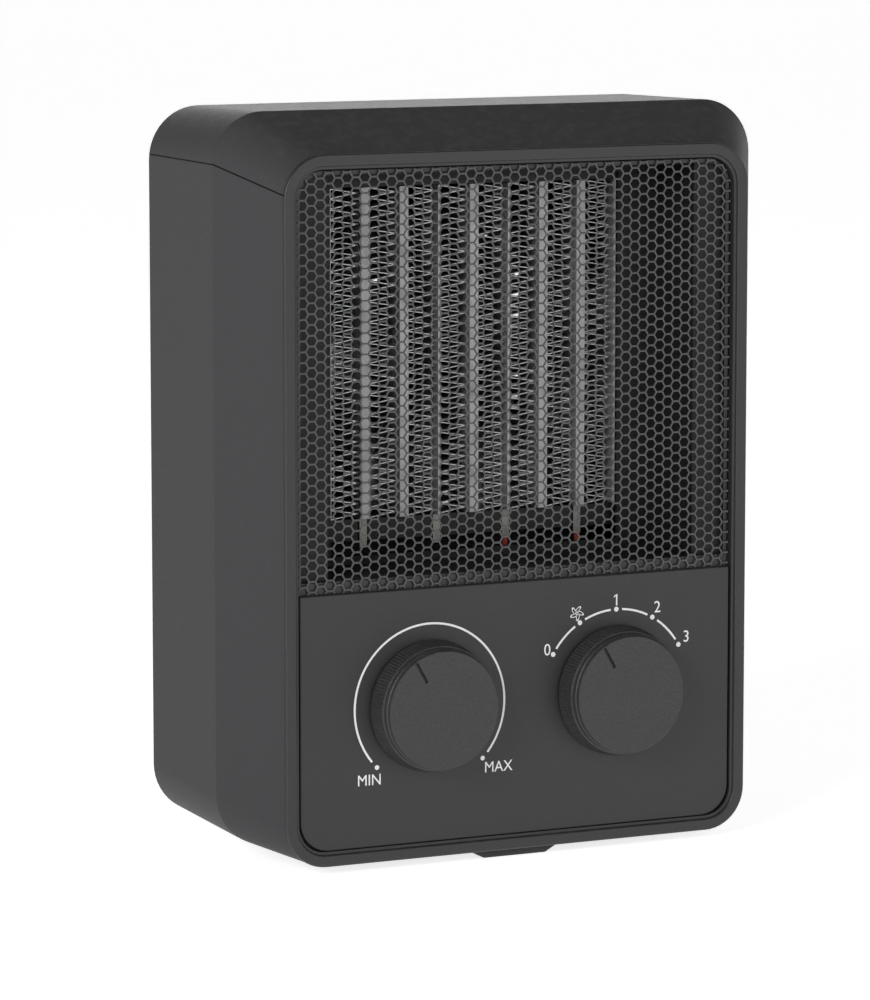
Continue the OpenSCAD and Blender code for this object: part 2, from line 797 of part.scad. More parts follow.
module clamp_screws() {
    top = gland_z + gland_r + 3;
    color("silver") for (s = [-1, 1]) translate([gland_x + s * 10, yd(cover_in - 9), 0]) {
        tube_z(screw_r, top - 12, top);
        tube_z(2.6, top, top + 1.6);
    }
}

module terminal_block() {
    color("#e4dfd2") difference() {
        box(block_x - 15, block_x + 15, block_depth - 8, block_depth + 8, floor_pad_z, floor_pad_z + 13);
        for (i = [-1 : 1]) {
            translate([block_x + i * 9, yd(block_depth - 4), 0]) tube_z(2.2, floor_pad_z + 5, floor_pad_z + 14);
            translate([block_x + i * 9, yd(block_depth + 4), 0]) tube_z(2.2, floor_pad_z + 5, floor_pad_z + 14);
        }
    }
}

module terminal_screws() {
    color("#c49a45") for (i = [-1 : 1], s = [-1, 1])
        translate([block_x + i * 9, yd(block_depth + 4 * s), 0]) tube_z(1.8, floor_pad_z + 5, floor_pad_z + 11);
}

// Tip-over switch --------------------------------------------------------

module tip_switch_body() {
    chamber_r = plunger_r + 2;
    color("#26262a") difference() {
        box(tip_x - tip_w / 2, tip_x + tip_w / 2, tip_depth - tip_w / 2, tip_depth + tip_w / 2,
            floor_pad_z, tip_top);
        translate([tip_x, yd(tip_depth), 0]) tube_z(plunger_r + run_gap, floor_pad_z - 1, floor_pad_z + 4);
        translate([tip_x, yd(tip_depth), 0]) tube_z(chamber_r, floor_pad_z + 3 - seat_gap, tip_top - 2);
    }
}

module tip_plunger() {
    color("#d8d8d8") translate([tip_x, yd(tip_depth), 0]) {
        tube_z(plunger_r, 0.2, collar_z + 2);
        tube_z(plunger_r + 1.5, collar_z, collar_z + 2);
        tube_z(plunger_r - 1.8, collar_z + 1, collar_z + 12);
    }
}

// A coil spring: rings of a round wire along a helix
module tip_spring() {
    wire = 0.45;
    coil_r = plunger_r - 1.8 + 1.2;
    z0 = collar_z + 2 + wire;
    z1 = tip_top - 2 - wire;
    turns = 5;
    rings = 16 * turns;
    sides = 8;
    points = [for (i = [0 : rings]) let(a = 360 * turns * i / rings, z = z0 + (z1 - z0) * i / rings)
        for (j = [0 : sides - 1]) let(b = 360 * j / sides)
            [(coil_r + wire * cos(b)) * cos(a), (coil_r + wire * cos(b)) * sin(a), z + wire * sin(b)]];
    walls = [for (i = [0 : rings - 1], j = [0 : sides - 1]) let(k = (j + 1) % sides)
        [i * sides + j, (i + 1) * sides + j, (i + 1) * sides + k, i * sides + k]];
    color("silver") translate([tip_x, yd(tip_depth), 0]) polyhedron(points,
        concat(walls, [[for (j = [0 : sides - 1]) j],
            [for (j = [sides - 1 : -1 : 0]) rings * sides + j]]), convexity = 10);
}

// Wiring -----------------------------------------------------------------

// The place at t on the smooth curve from b to c, between neighbours a and d
function on_curve(a, b, c, d, t) =
    (2 * b + (c - a) * t + (2 * a - 5 * b + 4 * c - d) * t * t + (3 * b - a - 3 * c + d) * t * t * t) / 2;

// Points along a smooth curve through the given ones
function smooth_path(p, steps) = let(n = len(p), q = concat([2 * p[0] - p[1]], p, [2 * p[n - 1] - p[n - 2]]))
    concat([for (i = [0 : n - 2], k = [0 : steps - 1]) on_curve(q[i], q[i + 1], q[i + 2], q[i + 3], k / steps)],
        [p[n - 1]]);

// An insulated lead through points given as X, depth and Z
module lead(points, colour) {
    sides = 8;
    path = smooth_path([for (p = points) [p.x, yd(p.y), p.z]], 5);
    last = len(path) - 1;
    tangent = [for (i = [0 : last]) let(v = path[min(i + 1, last)] - path[max(i - 1, 0)])
        i == 0 ? points[1] - points[0] : i == last ? points[len(points) - 1] - points[len(points) - 2] : v];
    rings = [for (i = [0 : last]) let(
            t = tangent[i] / norm(tangent[i]),
            u0 = cross(t, [1, 0.3, 0.2]),
            u = u0 / norm(u0),
            v = cross(t, u))
        for (j = [0 : sides - 1]) path[i] + wire_r * (cos(360 * j / sides) * u + sin(360 * j / sides) * v)];
    walls = [for (i = [0 : last - 1], j = [0 : sides - 1]) let(k = (j + 1) % sides)
        each [[i * sides + j, (i + 1) * sides + j, i * sides + k],
            [i * sides + k, (i + 1) * sides + j, (i + 1) * sides + k]]];
    color(colour) polyhedron(rings, concat(walls,
        [[for (j = [0 : sides - 1]) j], [for (j = [sides - 1 : -1 : 0]) last * sides + j]]), convexity = 10);
}

tab_end = control_back + tab_len;
coil_back = stack_end + 1.5;
block_top = floor_pad_z + 13;

module live_wire() {
    lead([[block_x - 9, block_depth - 4, block_top], [block_x - 9, block_depth - 4, block_top + 8],
        [thermostat_x + 12, 42, 42], [thermostat_x + 6, tab_end + 8, knob_z - 9],
        [thermostat_x + 6, tab_end, knob_z - 9]], "#6b3a22");
}

module neutral_wire() {
    lead([[block_x + 9, block_depth - 4, block_top], [block_x + 9, block_depth - 4, block_top + 8],
        [mode_x - 10, 42, 42], [mode_x - 6, tab_end + 8, knob_z - 8],
        [mode_x - 6, tab_end, knob_z - 8]], "#2f4f8f");
}

module low_heat_wire() {
    lead([[mode_x - 8, tab_end, knob_z + 8], [mode_x - 8, tab_end + 6, knob_z + 8],
        [terminal_x[2], wire_depth, 80], [terminal_x[2], wire_depth, 90],
        [terminal_x[2], wire_depth, element_z - terminal_z]], "#9a2a24");
}

module high_heat_wire() {
    lead([[mode_x + 8, tab_end, knob_z + 8], [mode_x + 8, tab_end + 6, knob_z + 8],
        [terminal_x[3], wire_depth, 80], [terminal_x[3], wire_depth, 90],
        [terminal_x[3], wire_depth, element_z - terminal_z]], "#9a2a24");
}

module motor_wire() {
    lead([[mode_x, tab_end, knob_z + 8], [mode_x, tab_end + 8, knob_z + 8], [mode_x + 2, 70, 72],
        [mode_x + 2, 96, 120], [34, coil_back, yoke_z0 + 4], [24, coil_back, yoke_z0 + 4],
        [13, coil_back, yoke_z0 + 4]], "#d8d8d8");
}

main_shell();
front_frame();
grille();
control_panel();
dial_markings();
thermostat_knob();
thermostat_shaft();
thermostat_body();
thermostat_nut();
thermostat_bimetal();
thermostat_terminals();
mode_knob();
mode_shaft();
switch_body();
switch_nut();
switch_terminals();
inner_duct();
element_frame_top();
element_frame_bottom();
element_tubes();
ceramic_stones();
element_fins();
element_plates();
element_terminals();
thermal_cutout();
thermal_fuse();
fan_shroud();
motor_spider();
fan_impeller();
motor_shaft();
motor_rotor();
motor_stator();
motor_coil();
motor_bracket_front();
motor_bracket_rear();
motor_bearings();
motor_screws();
rear_cover();
cover_screws();
cord_gland();
cord_clamp();
clamp_screws();
terminal_block();
terminal_screws();
tip_switch_body();
tip_plunger();
tip_spring();
front_foot();
rubber_feet();
live_wire();
neutral_wire();
low_heat_wire();
high_heat_wire();
motor_wire();
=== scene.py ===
import math

import bmesh
import bpy
from mathutils import Matrix, Vector


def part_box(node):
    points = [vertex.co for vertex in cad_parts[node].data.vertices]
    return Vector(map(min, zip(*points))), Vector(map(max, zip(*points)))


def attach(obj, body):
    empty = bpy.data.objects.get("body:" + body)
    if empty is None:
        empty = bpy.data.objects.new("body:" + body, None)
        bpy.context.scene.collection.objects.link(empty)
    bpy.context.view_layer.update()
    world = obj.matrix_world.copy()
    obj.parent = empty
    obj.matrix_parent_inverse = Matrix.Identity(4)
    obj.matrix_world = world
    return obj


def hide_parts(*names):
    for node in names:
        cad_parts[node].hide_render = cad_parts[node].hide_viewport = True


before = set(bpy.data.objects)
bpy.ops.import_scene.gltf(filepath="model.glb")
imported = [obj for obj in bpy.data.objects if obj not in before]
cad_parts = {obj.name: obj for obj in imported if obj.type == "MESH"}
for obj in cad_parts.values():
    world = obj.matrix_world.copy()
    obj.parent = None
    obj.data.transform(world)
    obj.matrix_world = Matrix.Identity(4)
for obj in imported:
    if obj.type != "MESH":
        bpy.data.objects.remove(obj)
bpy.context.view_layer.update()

# Camera: a long lens, left of the heater and a little above its top.
# The view transform is the plain one, so that tones stay as the materials give them.
scene = bpy.context.scene
scene.view_settings.view_transform = "Standard"
lens = bpy.data.cameras.new("camera")
lens.lens = 177.9
lens.sensor_width = 36
lens.clip_start = 0.05
lens.clip_end = 100
camera = bpy.data.objects.new("camera", lens)
camera.location = (-0.72871, -1.5126, 0.34585)
camera.rotation_euler = (math.radians(90 - 7.81), 0, math.radians(-25.46))
scene.collection.objects.link(camera)
scene.camera = camera

# Floor and studio: a wide pale paper floor that runs to the horizon and a tent of white light
# that darkens overhead and is bright behind the heater. A softbox stands at the front left, and
# a larger, weaker one at the right.


def add(tree, kind, inputs=None, **settings):
    """One node with its settings, and with each named input set or linked."""
    new = tree.nodes.new(kind)
    for key, value in settings.items():
        setattr(new, key, value)
    for key, value in (inputs or {}).items():
        if isinstance(value, bpy.types.NodeSocket):
            tree.links.new(value, new.inputs[key])
        else:
            new.inputs[key].default_value = value
    return new


def maker(name, roughness, metallic=0.0, specular=0.5):
    """A new material, its node tree, its Principled shader and its Object coordinates."""
    material = bpy.data.materials.new(name)
    material.use_nodes = True
    tree = material.node_tree
    shader = tree.nodes["Principled BSDF"]
    shader.inputs["Roughness"].default_value = roughness
    shader.inputs["Metallic"].default_value = metallic
    shader.inputs["Specular IOR Level"].default_value = specular
    coordinates = add(tree, "ShaderNodeTexCoord").outputs["Object"]
    return material, tree, shader, coordinates


def ramp_between(tree, mask, dark, light):
    """A colour that goes from dark to light with a mask."""
    mix = add(tree, "ShaderNodeMix", {"Factor": mask}, data_type="RGBA")
    mix.inputs[6].default_value = (*dark, 1)
    mix.inputs[7].default_value = (*light, 1)
    return mix.outputs[2]


floor_mesh = bmesh.new()
bmesh.ops.create_grid(floor_mesh, x_segments=4, y_segments=4, size=30)
floor_data = bpy.data.meshes.new("floor")
floor_mesh.to_mesh(floor_data)
floor_mesh.free()
floor = bpy.data.objects.new("floor", floor_data)
scene.collection.objects.link(floor)
paper, paper_tree, paper_shader, paper_place = maker("pale_paper", 0.9, specular=0.1)
fibres = add(paper_tree, "ShaderNodeTexNoise", {"Vector": paper_place, "Scale": 40.0, "Detail": 3.0})
paper_colour = ramp_between(paper_tree, fibres.outputs["Fac"], (0.93, 0.93, 0.93), (0.95, 0.95, 0.95))
paper_tree.links.new(paper_colour, paper_shader.inputs["Base Color"])
floor_data.materials.append(paper)
paper_shader.inputs["Emission Color"].default_value = (1, 1, 1, 1)
paper_shader.inputs["Emission Strength"].default_value = 0.75

world = bpy.data.worlds.new("studio")
scene.world = world
world.use_nodes = True
sky_tree = world.node_tree
sky = sky_tree.nodes["Background"]
direction = add(sky_tree, "ShaderNodeTexCoord").outputs["Generated"]
height = add(sky_tree, "ShaderNodeSeparateXYZ", {"Vector": direction}).outputs["Z"]
tent = add(sky_tree, "ShaderNodeMapRange",
           {"Value": height, "From Min": 0.05, "From Max": 0.6, "To Min": 0.4, "To Max": 0.08})
behind = add(sky_tree, "ShaderNodeVectorMath", {0: direction, 1: (0.43, 0.9, 0.1)},
             operation="DOT_PRODUCT")
backdrop = add(sky_tree, "ShaderNodeMapRange",
               {"Value": behind.outputs["Value"], "From Min": 0.86, "From Max": 0.99,
                "To Min": 0.0, "To Max": 3.2})
studio = add(sky_tree, "ShaderNodeMath", {0: tent.outputs["Result"], 1: backdrop.outputs["Result"]},
             operation="ADD")
sky_tree.links.new(studio.outputs[0], sky.inputs["Strength"])
sky.inputs["Color"].default_value = (1, 1, 1, 1)


def softbox(name, place, aim, size, power):
    """A square area light that looks at a point."""
    light = bpy.data.lights.new(name, "AREA")
    light.size = size
    light.energy = power
    lamp = bpy.data.objects.new(name, light)
    lamp.location = place
    lamp.rotation_euler = (Vector(aim) - Vector(place)).to_track_quat("-Z", "Y").to_euler()
    scene.collection.objects.link(lamp)


softbox("left_softbox", (-1.8, -1.2, 0.9), (0, 0, 0.2), 0.8, 24)
softbox("front_softbox", (0.9, -2.0, 0.9), (0, 0, 0.12), 1.2, 7)

# Main shell: one deep moulding of charcoal plastic with a fine moulded grain. A straight sleeve
# with rounded corners ends in a broad bevel that narrows to the front. A fine parting line runs
# along each side just below the top corner: a shallow bumped groove, coloured near black as painted shade.
MM = 0.001
front_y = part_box("front_frame")[0].y


def depth(d):
    """The Y of a plane that lies d millimetres behind the rim's front."""
    return front_y + d * MM


CORNER_STEPS = 12


def outline(bm, width, low, high, radius, d):
    """The edges of one upright rounded outline, in millimetres, at a depth."""
    made = bmesh.ops.create_grid(bm, x_segments=1, y_segments=1, size=0.5)["verts"]
    size = Matrix.Diagonal((width * MM, (high - low) * MM, 1, 1))
    turn = Matrix.Rotation(math.radians(90), 4, "X")
    place = Matrix.Translation((0, depth(d), (low + high) / 2 * MM))
    bmesh.ops.transform(bm, matrix=place @ turn @ size, verts=made)
    bmesh.ops.bevel(bm, geom=made, offset=radius * MM, segments=CORNER_STEPS, profile=0.5,
                    affect="VERTICES", material=-1)
    face = next(f for f in bm.faces if len(f.verts) > 4 * CORNER_STEPS - 1 and f.calc_area() > 0
                and all(abs(v.co.y - depth(d)) < 1e-7 for v in f.verts) and not f.tag)
    edges = list(face.edges)
    bmesh.ops.delete(bm, geom=[face], context="FACES_ONLY")
    return edges


def bridge(bm, loops):
    """Joins outlines one after the other, and the last to the first."""
    for first, second in zip(loops, loops[1:] + loops[:1]):
        bmesh.ops.bridge_loops(bm, edges=first + second)


def ease(bm, edges, width, segments=3):
    """Rounds some edges by a width in millimetres."""
    bmesh.ops.bevel(bm, geom=edges, offset=width * MM, segments=segments, profile=0.5,
                    affect="EDGES", material=-1, clamp_overlap=True)


def finish_mesh(name, bm, material, sharp=35, merge=0.00001):
    """Turns a bmesh into a smooth-shaded object with its normals outward."""
    bmesh.ops.remove_doubles(bm, verts=bm.verts, dist=merge)
    bmesh.ops.recalc_face_normals(bm, faces=bm.faces)
    data = bpy.data.meshes.new(name)
    bm.to_mesh(data)
    bm.free()
    data.shade_smooth()
    data.set_sharp_from_angle(angle=math.radians(sharp))
    data.materials.append(material)
    piece = bpy.data.objects.new(name, data)
    even = piece.modifiers.new("even_normals", "WEIGHTED_NORMAL")
    even.keep_sharp = True
    scene.collection.objects.link(piece)
    return piece


def new_group(name, inputs, outputs):
    """A shader node group with named inputs and outputs, and its two end nodes."""
    group = bpy.data.node_groups.new(name, "ShaderNodeTree")
    for label, kind, value in inputs:
        socket = group.interface.new_socket(label, in_out="INPUT", socket_type=kind)
        if value is not None:
            socket.default_value = value
    for label, kind in outputs:
        group.interface.new_socket(label, in_out="OUTPUT", socket_type=kind)
    return group, group.nodes.new("NodeGroupInput"), group.nodes.new("NodeGroupOutput")


FLOAT, VECTOR = "NodeSocketFloat", "NodeSocketVector"
grain_group, grain_in, grain_out = new_group(
    "moulded_grain", [("Vector", VECTOR, None), ("Cells", FLOAT, 1500.0)],
    [("Height", FLOAT), ("Speckle", FLOAT), ("Cloud", FLOAT)])
pits = add(grain_group, "ShaderNodeTexVoronoi",
           {"Vector": grain_in.outputs["Vector"], "Scale": grain_in.outputs["Cells"]})
grit = add(grain_group, "ShaderNodeTexNoise",
           {"Vector": grain_in.outputs["Vector"], "Scale": grain_in.outputs["Cells"], "Detail": 2.0})
cloud = add(grain_group, "ShaderNodeTexNoise",
            {"Vector": grain_in.outputs["Vector"], "Scale": 18.0, "Detail": 3.0})
both = add(grain_group, "ShaderNodeMath", {0: pits.outputs["Distance"], 1: grit.outputs["Fac"]},
           operation="ADD")
grain_group.links.new(both.outputs[0], grain_out.inputs["Height"])
grain_group.links.new(grit.outputs["Fac"], grain_out.inputs["Speckle"])
grain_group.links.new(cloud.outputs["Fac"], grain_out.inputs["Cloud"])

# Edge mask: edges found where a bevelled normal turns from the plain one, broken up by noise. It lightens
# edges, partly as wear and partly as painted highlight.
edge_wear_and_highlight_group, edge_wear_and_highlight_in, edge_wear_and_highlight_out = new_group(
    "edge_wear_and_highlight", [("Vector", VECTOR, None), ("Width", FLOAT, 0.0005), ("Amount", FLOAT, 0.5)],
    [("Mask", FLOAT)])
soft = add(edge_wear_and_highlight_group, "ShaderNodeBevel", {"Radius": edge_wear_and_highlight_in.outputs["Width"]}, samples=4)
plain = add(edge_wear_and_highlight_group, "ShaderNodeNewGeometry")
turned = add(edge_wear_and_highlight_group, "ShaderNodeVectorMath",
             {0: soft.outputs["Normal"], 1: plain.outputs["Normal"]}, operation="DOT_PRODUCT")
bend = add(edge_wear_and_highlight_group, "ShaderNodeMapRange",
           {"Value": turned.outputs["Value"], "From Min": 0.99, "From Max": 0.85,
            "To Min": 0.0, "To Max": 1.0})
edge_patch_noise = add(edge_wear_and_highlight_group, "ShaderNodeTexNoise",
             {"Vector": edge_wear_and_highlight_in.outputs["Vector"], "Scale": 90.0, "Detail": 4.0})
patchy = add(edge_wear_and_highlight_group, "ShaderNodeMapRange",
             {"Value": edge_patch_noise.outputs["Fac"], "From Min": 0.4, "From Max": 0.7})
worn_and_lit_edges = add(edge_wear_and_highlight_group, "ShaderNodeMath", {0: bend.outputs["Result"], 1: patchy.outputs["Result"]},
           operation="MULTIPLY")
amount = add(edge_wear_and_highlight_group, "ShaderNodeMath", {0: worn_and_lit_edges.outputs[0], 1: edge_wear_and_highlight_in.outputs["Amount"]},
             operation="MULTIPLY")
edge_wear_and_highlight_group.links.new(amount.outputs[0], edge_wear_and_highlight_out.inputs["Mask"])

dust_group, dust_in, dust_out = new_group(
    "settled_dust", [("Vector", VECTOR, None), ("Amount", FLOAT, 0.1)], [("Mask", FLOAT)])
facing = add(dust_group, "ShaderNodeSeparateXYZ",
             {"Vector": add(dust_group, "ShaderNodeNewGeometry").outputs["Normal"]})
upward = add(dust_group, "ShaderNodeMapRange",
             {"Value": facing.outputs["Z"], "From Min": 0.5, "From Max": 1.0})
flecks = add(dust_group, "ShaderNodeTexNoise",
             {"Vector": dust_in.outputs["Vector"], "Scale": 260.0, "Detail": 5.0})
spots = add(dust_group, "ShaderNodeMapRange",
            {"Value": flecks.outputs["Fac"], "From Min": 0.45, "From Max": 0.75})
lying = add(dust_group, "ShaderNodeMath", {0: upward.outputs["Result"], 1: spots.outputs["Result"]},
            operation="MULTIPLY")
settled = add(dust_group, "ShaderNodeMath", {0: lying.outputs[0], 1: dust_in.outputs["Amount"]},
              operation="MULTIPLY")
dust_group.links.new(settled.outputs[0], dust_out.inputs["Mask"])


def mix_colour(tree, mask, first, second):
    """Blends a colour socket towards a plain colour by a mask."""
    mix = add(tree, "ShaderNodeMix", {"Factor": mask}, data_type="RGBA")
    tree.links.new(first, mix.inputs[6])
    mix.inputs[7].default_value = (*second, 1)
    return mix.outputs[2]


def moulding(name, colour, roughness, cells, grain, wear_and_highlight=0.25, dust=0.1, spread=0.12,
             specular=0.5):
    """Moulded plastic: fine grain in bump and roughness, faint clouding, lighter edges that are partly wear
    and partly painted highlight, and dust.
    """
    material, tree, shader, place = maker(name, roughness, specular=specular)
    grained = add(tree, "ShaderNodeGroup", {}, node_tree=grain_group)
    tree.links.new(place, grained.inputs["Vector"])
    grained.inputs["Cells"].default_value = cells
    dark = tuple(c * (1 - spread) for c in colour)
    light = tuple(c * (1 + spread) for c in colour)
    tone = ramp_between(tree, grained.outputs["Speckle"], dark, light)
    clouded = add(tree, "ShaderNodeMapRange",
                  {"Value": grained.outputs["Cloud"], "To Min": 0.0, "To Max": 0.25})
    tone = mix_colour(tree, clouded.outputs["Result"], tone, tuple(c * 1.25 for c in colour))
    worn_and_lit_edges = add(tree, "ShaderNodeGroup", {}, node_tree=edge_wear_and_highlight_group)
    tree.links.new(place, worn_and_lit_edges.inputs["Vector"])
    worn_and_lit_edges.inputs["Amount"].default_value = wear_and_highlight
    # Edges lighten towards twice the colour: partly wear, partly painted highlight.
    tone = mix_colour(tree, worn_and_lit_edges.outputs["Mask"], tone, tuple(min(1, c * 2.2) for c in colour))
    dusty = add(tree, "ShaderNodeGroup", {}, node_tree=dust_group)
    tree.links.new(place, dusty.inputs["Vector"])
    dusty.inputs["Amount"].default_value = dust
    tone = mix_colour(tree, dusty.outputs["Mask"], tone, (0.32, 0.31, 0.3))
    tree.links.new(tone, shader.inputs["Base Color"])
    sheen = add(tree, "ShaderNodeMapRange",
                {"Value": grained.outputs["Height"], "From Min": 0.3, "From Max": 1.3,
                 "To Min": roughness + 0.06, "To Max": roughness - 0.06})
    tree.links.new(sheen.outputs["Result"], shader.inputs["Roughness"])
    bump = add(tree, "ShaderNodeBump", {"Height": grained.outputs["Height"], "Distance": grain * MM})
    tree.links.new(bump.outputs["Normal"], shader.inputs["Normal"])
    return material


# Millimetres; a depth counts back from the rim's front.
SLEEVE_W, BREAK_W, RIM_W, WALL = 198, 200, 171.6, 2.5
CASE_LOW, CASE_HIGH, CASE_CORNER = 7, 252, 18
RIM_LOW, RIM_HIGH, RIM_CORNER = 3, 239, 14.5
BEVEL_START, BREAK_DEPTH, SLEEVE_END = 1.6, 26, 84
shell_mesh = bmesh.new()
loops = [
    outline(shell_mesh, RIM_W - 4.6, 5.3, 236.7, 12.2, 1.75),
    outline(shell_mesh, RIM_W - 0.4, 3.2, 238.8, 14.3, BEVEL_START),
    outline(shell_mesh, BREAK_W, CASE_LOW, CASE_HIGH, CASE_CORNER, BREAK_DEPTH),
    outline(shell_mesh, SLEEVE_W, CASE_LOW + 1, CASE_HIGH - 1, CASE_CORNER, SLEEVE_END),
    outline(shell_mesh, SLEEVE_W - 2 * WALL, CASE_LOW + 1 + WALL, CASE_HIGH - 1 - WALL,
            CASE_CORNER - WALL, 83.8),
    outline(shell_mesh, BREAK_W - 2 * WALL, CASE_LOW + WALL, CASE_HIGH - WALL,
            CASE_CORNER - WALL, 27.5),
]
crisp = loops[2] + loops[3] + loops[1]
bridge(shell_mesh, loops)
ease(shell_mesh, [e for e in crisp if e.is_valid], 0.5)
shell_plastic = moulding("charcoal_shell", (0.058, 0.058, 0.0605), 0.5, 1700, 0.05,
                         specular=0.03)
LINE_FRONT_Z, LINE_REAR_Z = 226, 235
line_group, line_in, line_out = new_group(
    "parting_line_and_shade", [("Vector", VECTOR, None)], [("Mask", FLOAT)])
line_at = add(line_group, "ShaderNodeSeparateXYZ", {"Vector": line_in.outputs["Vector"]})
rising = add(line_group, "ShaderNodeMapRange",
             {"Value": line_at.outputs["Y"], "From Min": depth(BEVEL_START),
              "From Max": depth(BREAK_DEPTH), "To Min": LINE_FRONT_Z * MM, "To Max": LINE_REAR_Z * MM})
off_line = add(line_group, "ShaderNodeMath",
               {0: line_at.outputs["Z"], 1: rising.outputs["Result"]}, operation="SUBTRACT")
away = add(line_group, "ShaderNodeMath", {0: off_line.outputs[0]}, operation="ABSOLUTE")
near = add(line_group, "ShaderNodeMapRange",
           {"Value": away.outputs[0], "From Min": 0.35 * MM, "From Max": 0.1 * MM})
line_group.links.new(near.outputs["Result"], line_out.inputs["Mask"])
shell_tree = shell_plastic.node_tree
shell_shader = shell_tree.nodes["Principled BSDF"]
shell_place = add(shell_tree, "ShaderNodeTexCoord").outputs["Object"]
seam_and_shade = add(shell_tree, "ShaderNodeGroup", {}, node_tree=line_group)
shell_tree.links.new(shell_place, seam_and_shade.inputs["Vector"])
shell_tone = shell_shader.inputs["Base Color"].links[0].from_socket
shell_normal = shell_shader.inputs["Normal"].links[0].from_socket
# The parting line is coloured near black: painted shade in its groove, over a real bumped groove.
seam_shaded_tone = mix_colour(shell_tree, seam_and_shade.outputs["Mask"], shell_tone, (0.004, 0.004, 0.004))
shell_tree.links.new(seam_shaded_tone, shell_shader.inputs["Base Color"])
groove = add(shell_tree, "ShaderNodeBump",
             {"Height": seam_and_shade.outputs["Mask"], "Distance": 0.15 * MM, "Normal": shell_normal}, invert=True)
shell_tree.links.new(groove.outputs["Normal"], shell_shader.inputs["Normal"])
shell = finish_mesh("case_shell", shell_mesh, shell_plastic, sharp=20)
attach(shell, "root")
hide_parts("main_shell")

# Front frame: the raised rim, moulded in the same charcoal plastic and pressed into the shell.
# A narrow groove parts it from the bevel. Inside it steps down to a ledge, and a bar crosses it
# between the grille and the panel.
frame_mesh = bmesh.new()


def rim_loop(s, d):
    """The rim's outline, inset by s, at depth d."""
    return outline(frame_mesh, RIM_W - 2 * s, RIM_LOW + s, RIM_HIGH - s, max(RIM_CORNER - s, 3), d)


rim_loops = [
    rim_loop(0, 1.1), rim_loop(0, 0), rim_loop(4, 0.06), rim_loop(4.05, 1.1), rim_loop(5.0, 1.2),
    rim_loop(5.05, 5.4), rim_loop(5.6, 5.45), rim_loop(5.65, 3.5), rim_loop(7, 3.55), rim_loop(7, 6),
    rim_loop(3.0, 5.9), rim_loop(3.0, 1.3),
]
soft_edges = rim_loops[1] + rim_loops[2]
fine_edges = rim_loops[0] + rim_loops[4]
bridge(frame_mesh, rim_loops)
ease(frame_mesh, [e for e in soft_edges if e.is_valid], 0.7, 4)
ease(frame_mesh, [e for e in fine_edges if e.is_valid], 0.3, 2)
BAR_W, BAR_T, BAR_H, BAR_DEPTH, BAR_Z = 161.2, 2.4, 8, 4.8, 94
bar = bmesh.ops.create_cube(frame_mesh, size=1)["verts"]
bmesh.ops.transform(frame_mesh, matrix=Matrix.Translation((0, depth(BAR_DEPTH), BAR_Z * MM))
                    @ Matrix.Diagonal((BAR_W * MM, BAR_T * MM, BAR_H * MM, 1)), verts=bar)
ease(frame_mesh, list({e for v in bar for e in v.link_edges}), 0.3, 2)
frame_plastic = moulding("charcoal_rim", (0.023, 0.023, 0.0243), 0.42, 1700, 0.04)
front_rim = finish_mesh("front_rim", frame_mesh, frame_plastic, sharp=30)
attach(front_rim, "root")
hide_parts("front_frame")

# Grille: a steel sheet punched with rows of six-sided holes and enamelled black, so that the
# webs are slightly crowned and shine. The holes run out to its trimmed edge, which lies over the frame's
# ledge.
HOLE_STEP_X, HOLE_STEP_Z, WEB = 3.215, 3.534, 0.62
CELL_R = HOLE_STEP_X / 1.5
CROWN, SHEET_T, SHEET_DEPTH = 0.16, 0.7, 2.5
ROWS, ROWS_BELOW = 41, 23
COLUMN_PAIRS, COLUMNS_LEFT = 26, 25
CENTRE_HOLE_X, CENTRE_HOLE_Z = -1.25, 174.57
grille_mesh = bmesh.new()
cell = bmesh.ops.create_circle(grille_mesh, cap_ends=True, segments=6, radius=CELL_R * MM)
cell_verts = cell["verts"]
squash = HOLE_STEP_Z / (CELL_R * math.sqrt(3))
bmesh.ops.transform(grille_mesh, verts=cell_verts,
                    matrix=Matrix.Rotation(math.radians(90), 4, "X")
                    @ Matrix.Diagonal((1, squash, 1, 1)) @ Matrix.Rotation(math.radians(30), 4, "Z"))
hexagon = list(grille_mesh.faces)
bmesh.ops.inset_region(grille_mesh, faces=hexagon, thickness=WEB / 2 * MM, depth=0,
                       use_boundary=True, use_even_offset=True)
middle = [f for f in grille_mesh.faces if len(f.verts) == 6]
bmesh.ops.delete(grille_mesh, geom=middle, context="FACES_ONLY")
crown = [v for v in grille_mesh.verts if v.is_boundary and v.co.length < CELL_R * MM * 0.9]
bmesh.ops.translate(grille_mesh, verts=crown, vec=(0, CROWN * MM, 0))
first_hole = Vector((-COLUMNS_LEFT * HOLE_STEP_X + CENTRE_HOLE_X, SHEET_DEPTH,
                     CENTRE_HOLE_Z - ROWS_BELOW * HOLE_STEP_Z))
bmesh.ops.translate(grille_mesh, verts=grille_mesh.verts,
                    vec=(first_hole.x * MM, depth(first_hole.y), first_hole.z * MM))


def repeat(bm, geom, step, count):
    """Copies some geometry count - 1 times, each a step from the last."""
    for number in range(1, count):
        copy = bmesh.ops.duplicate(bm, geom=geom)["geom"]
        moved = [g for g in copy if isinstance(g, bmesh.types.BMVert)]
        bmesh.ops.translate(bm, verts=moved, vec=Vector(step) * number)


def everything(bm):
    """All the vertices, edges and faces of a bmesh."""
    return bm.verts[:] + bm.edges[:] + bm.faces[:]


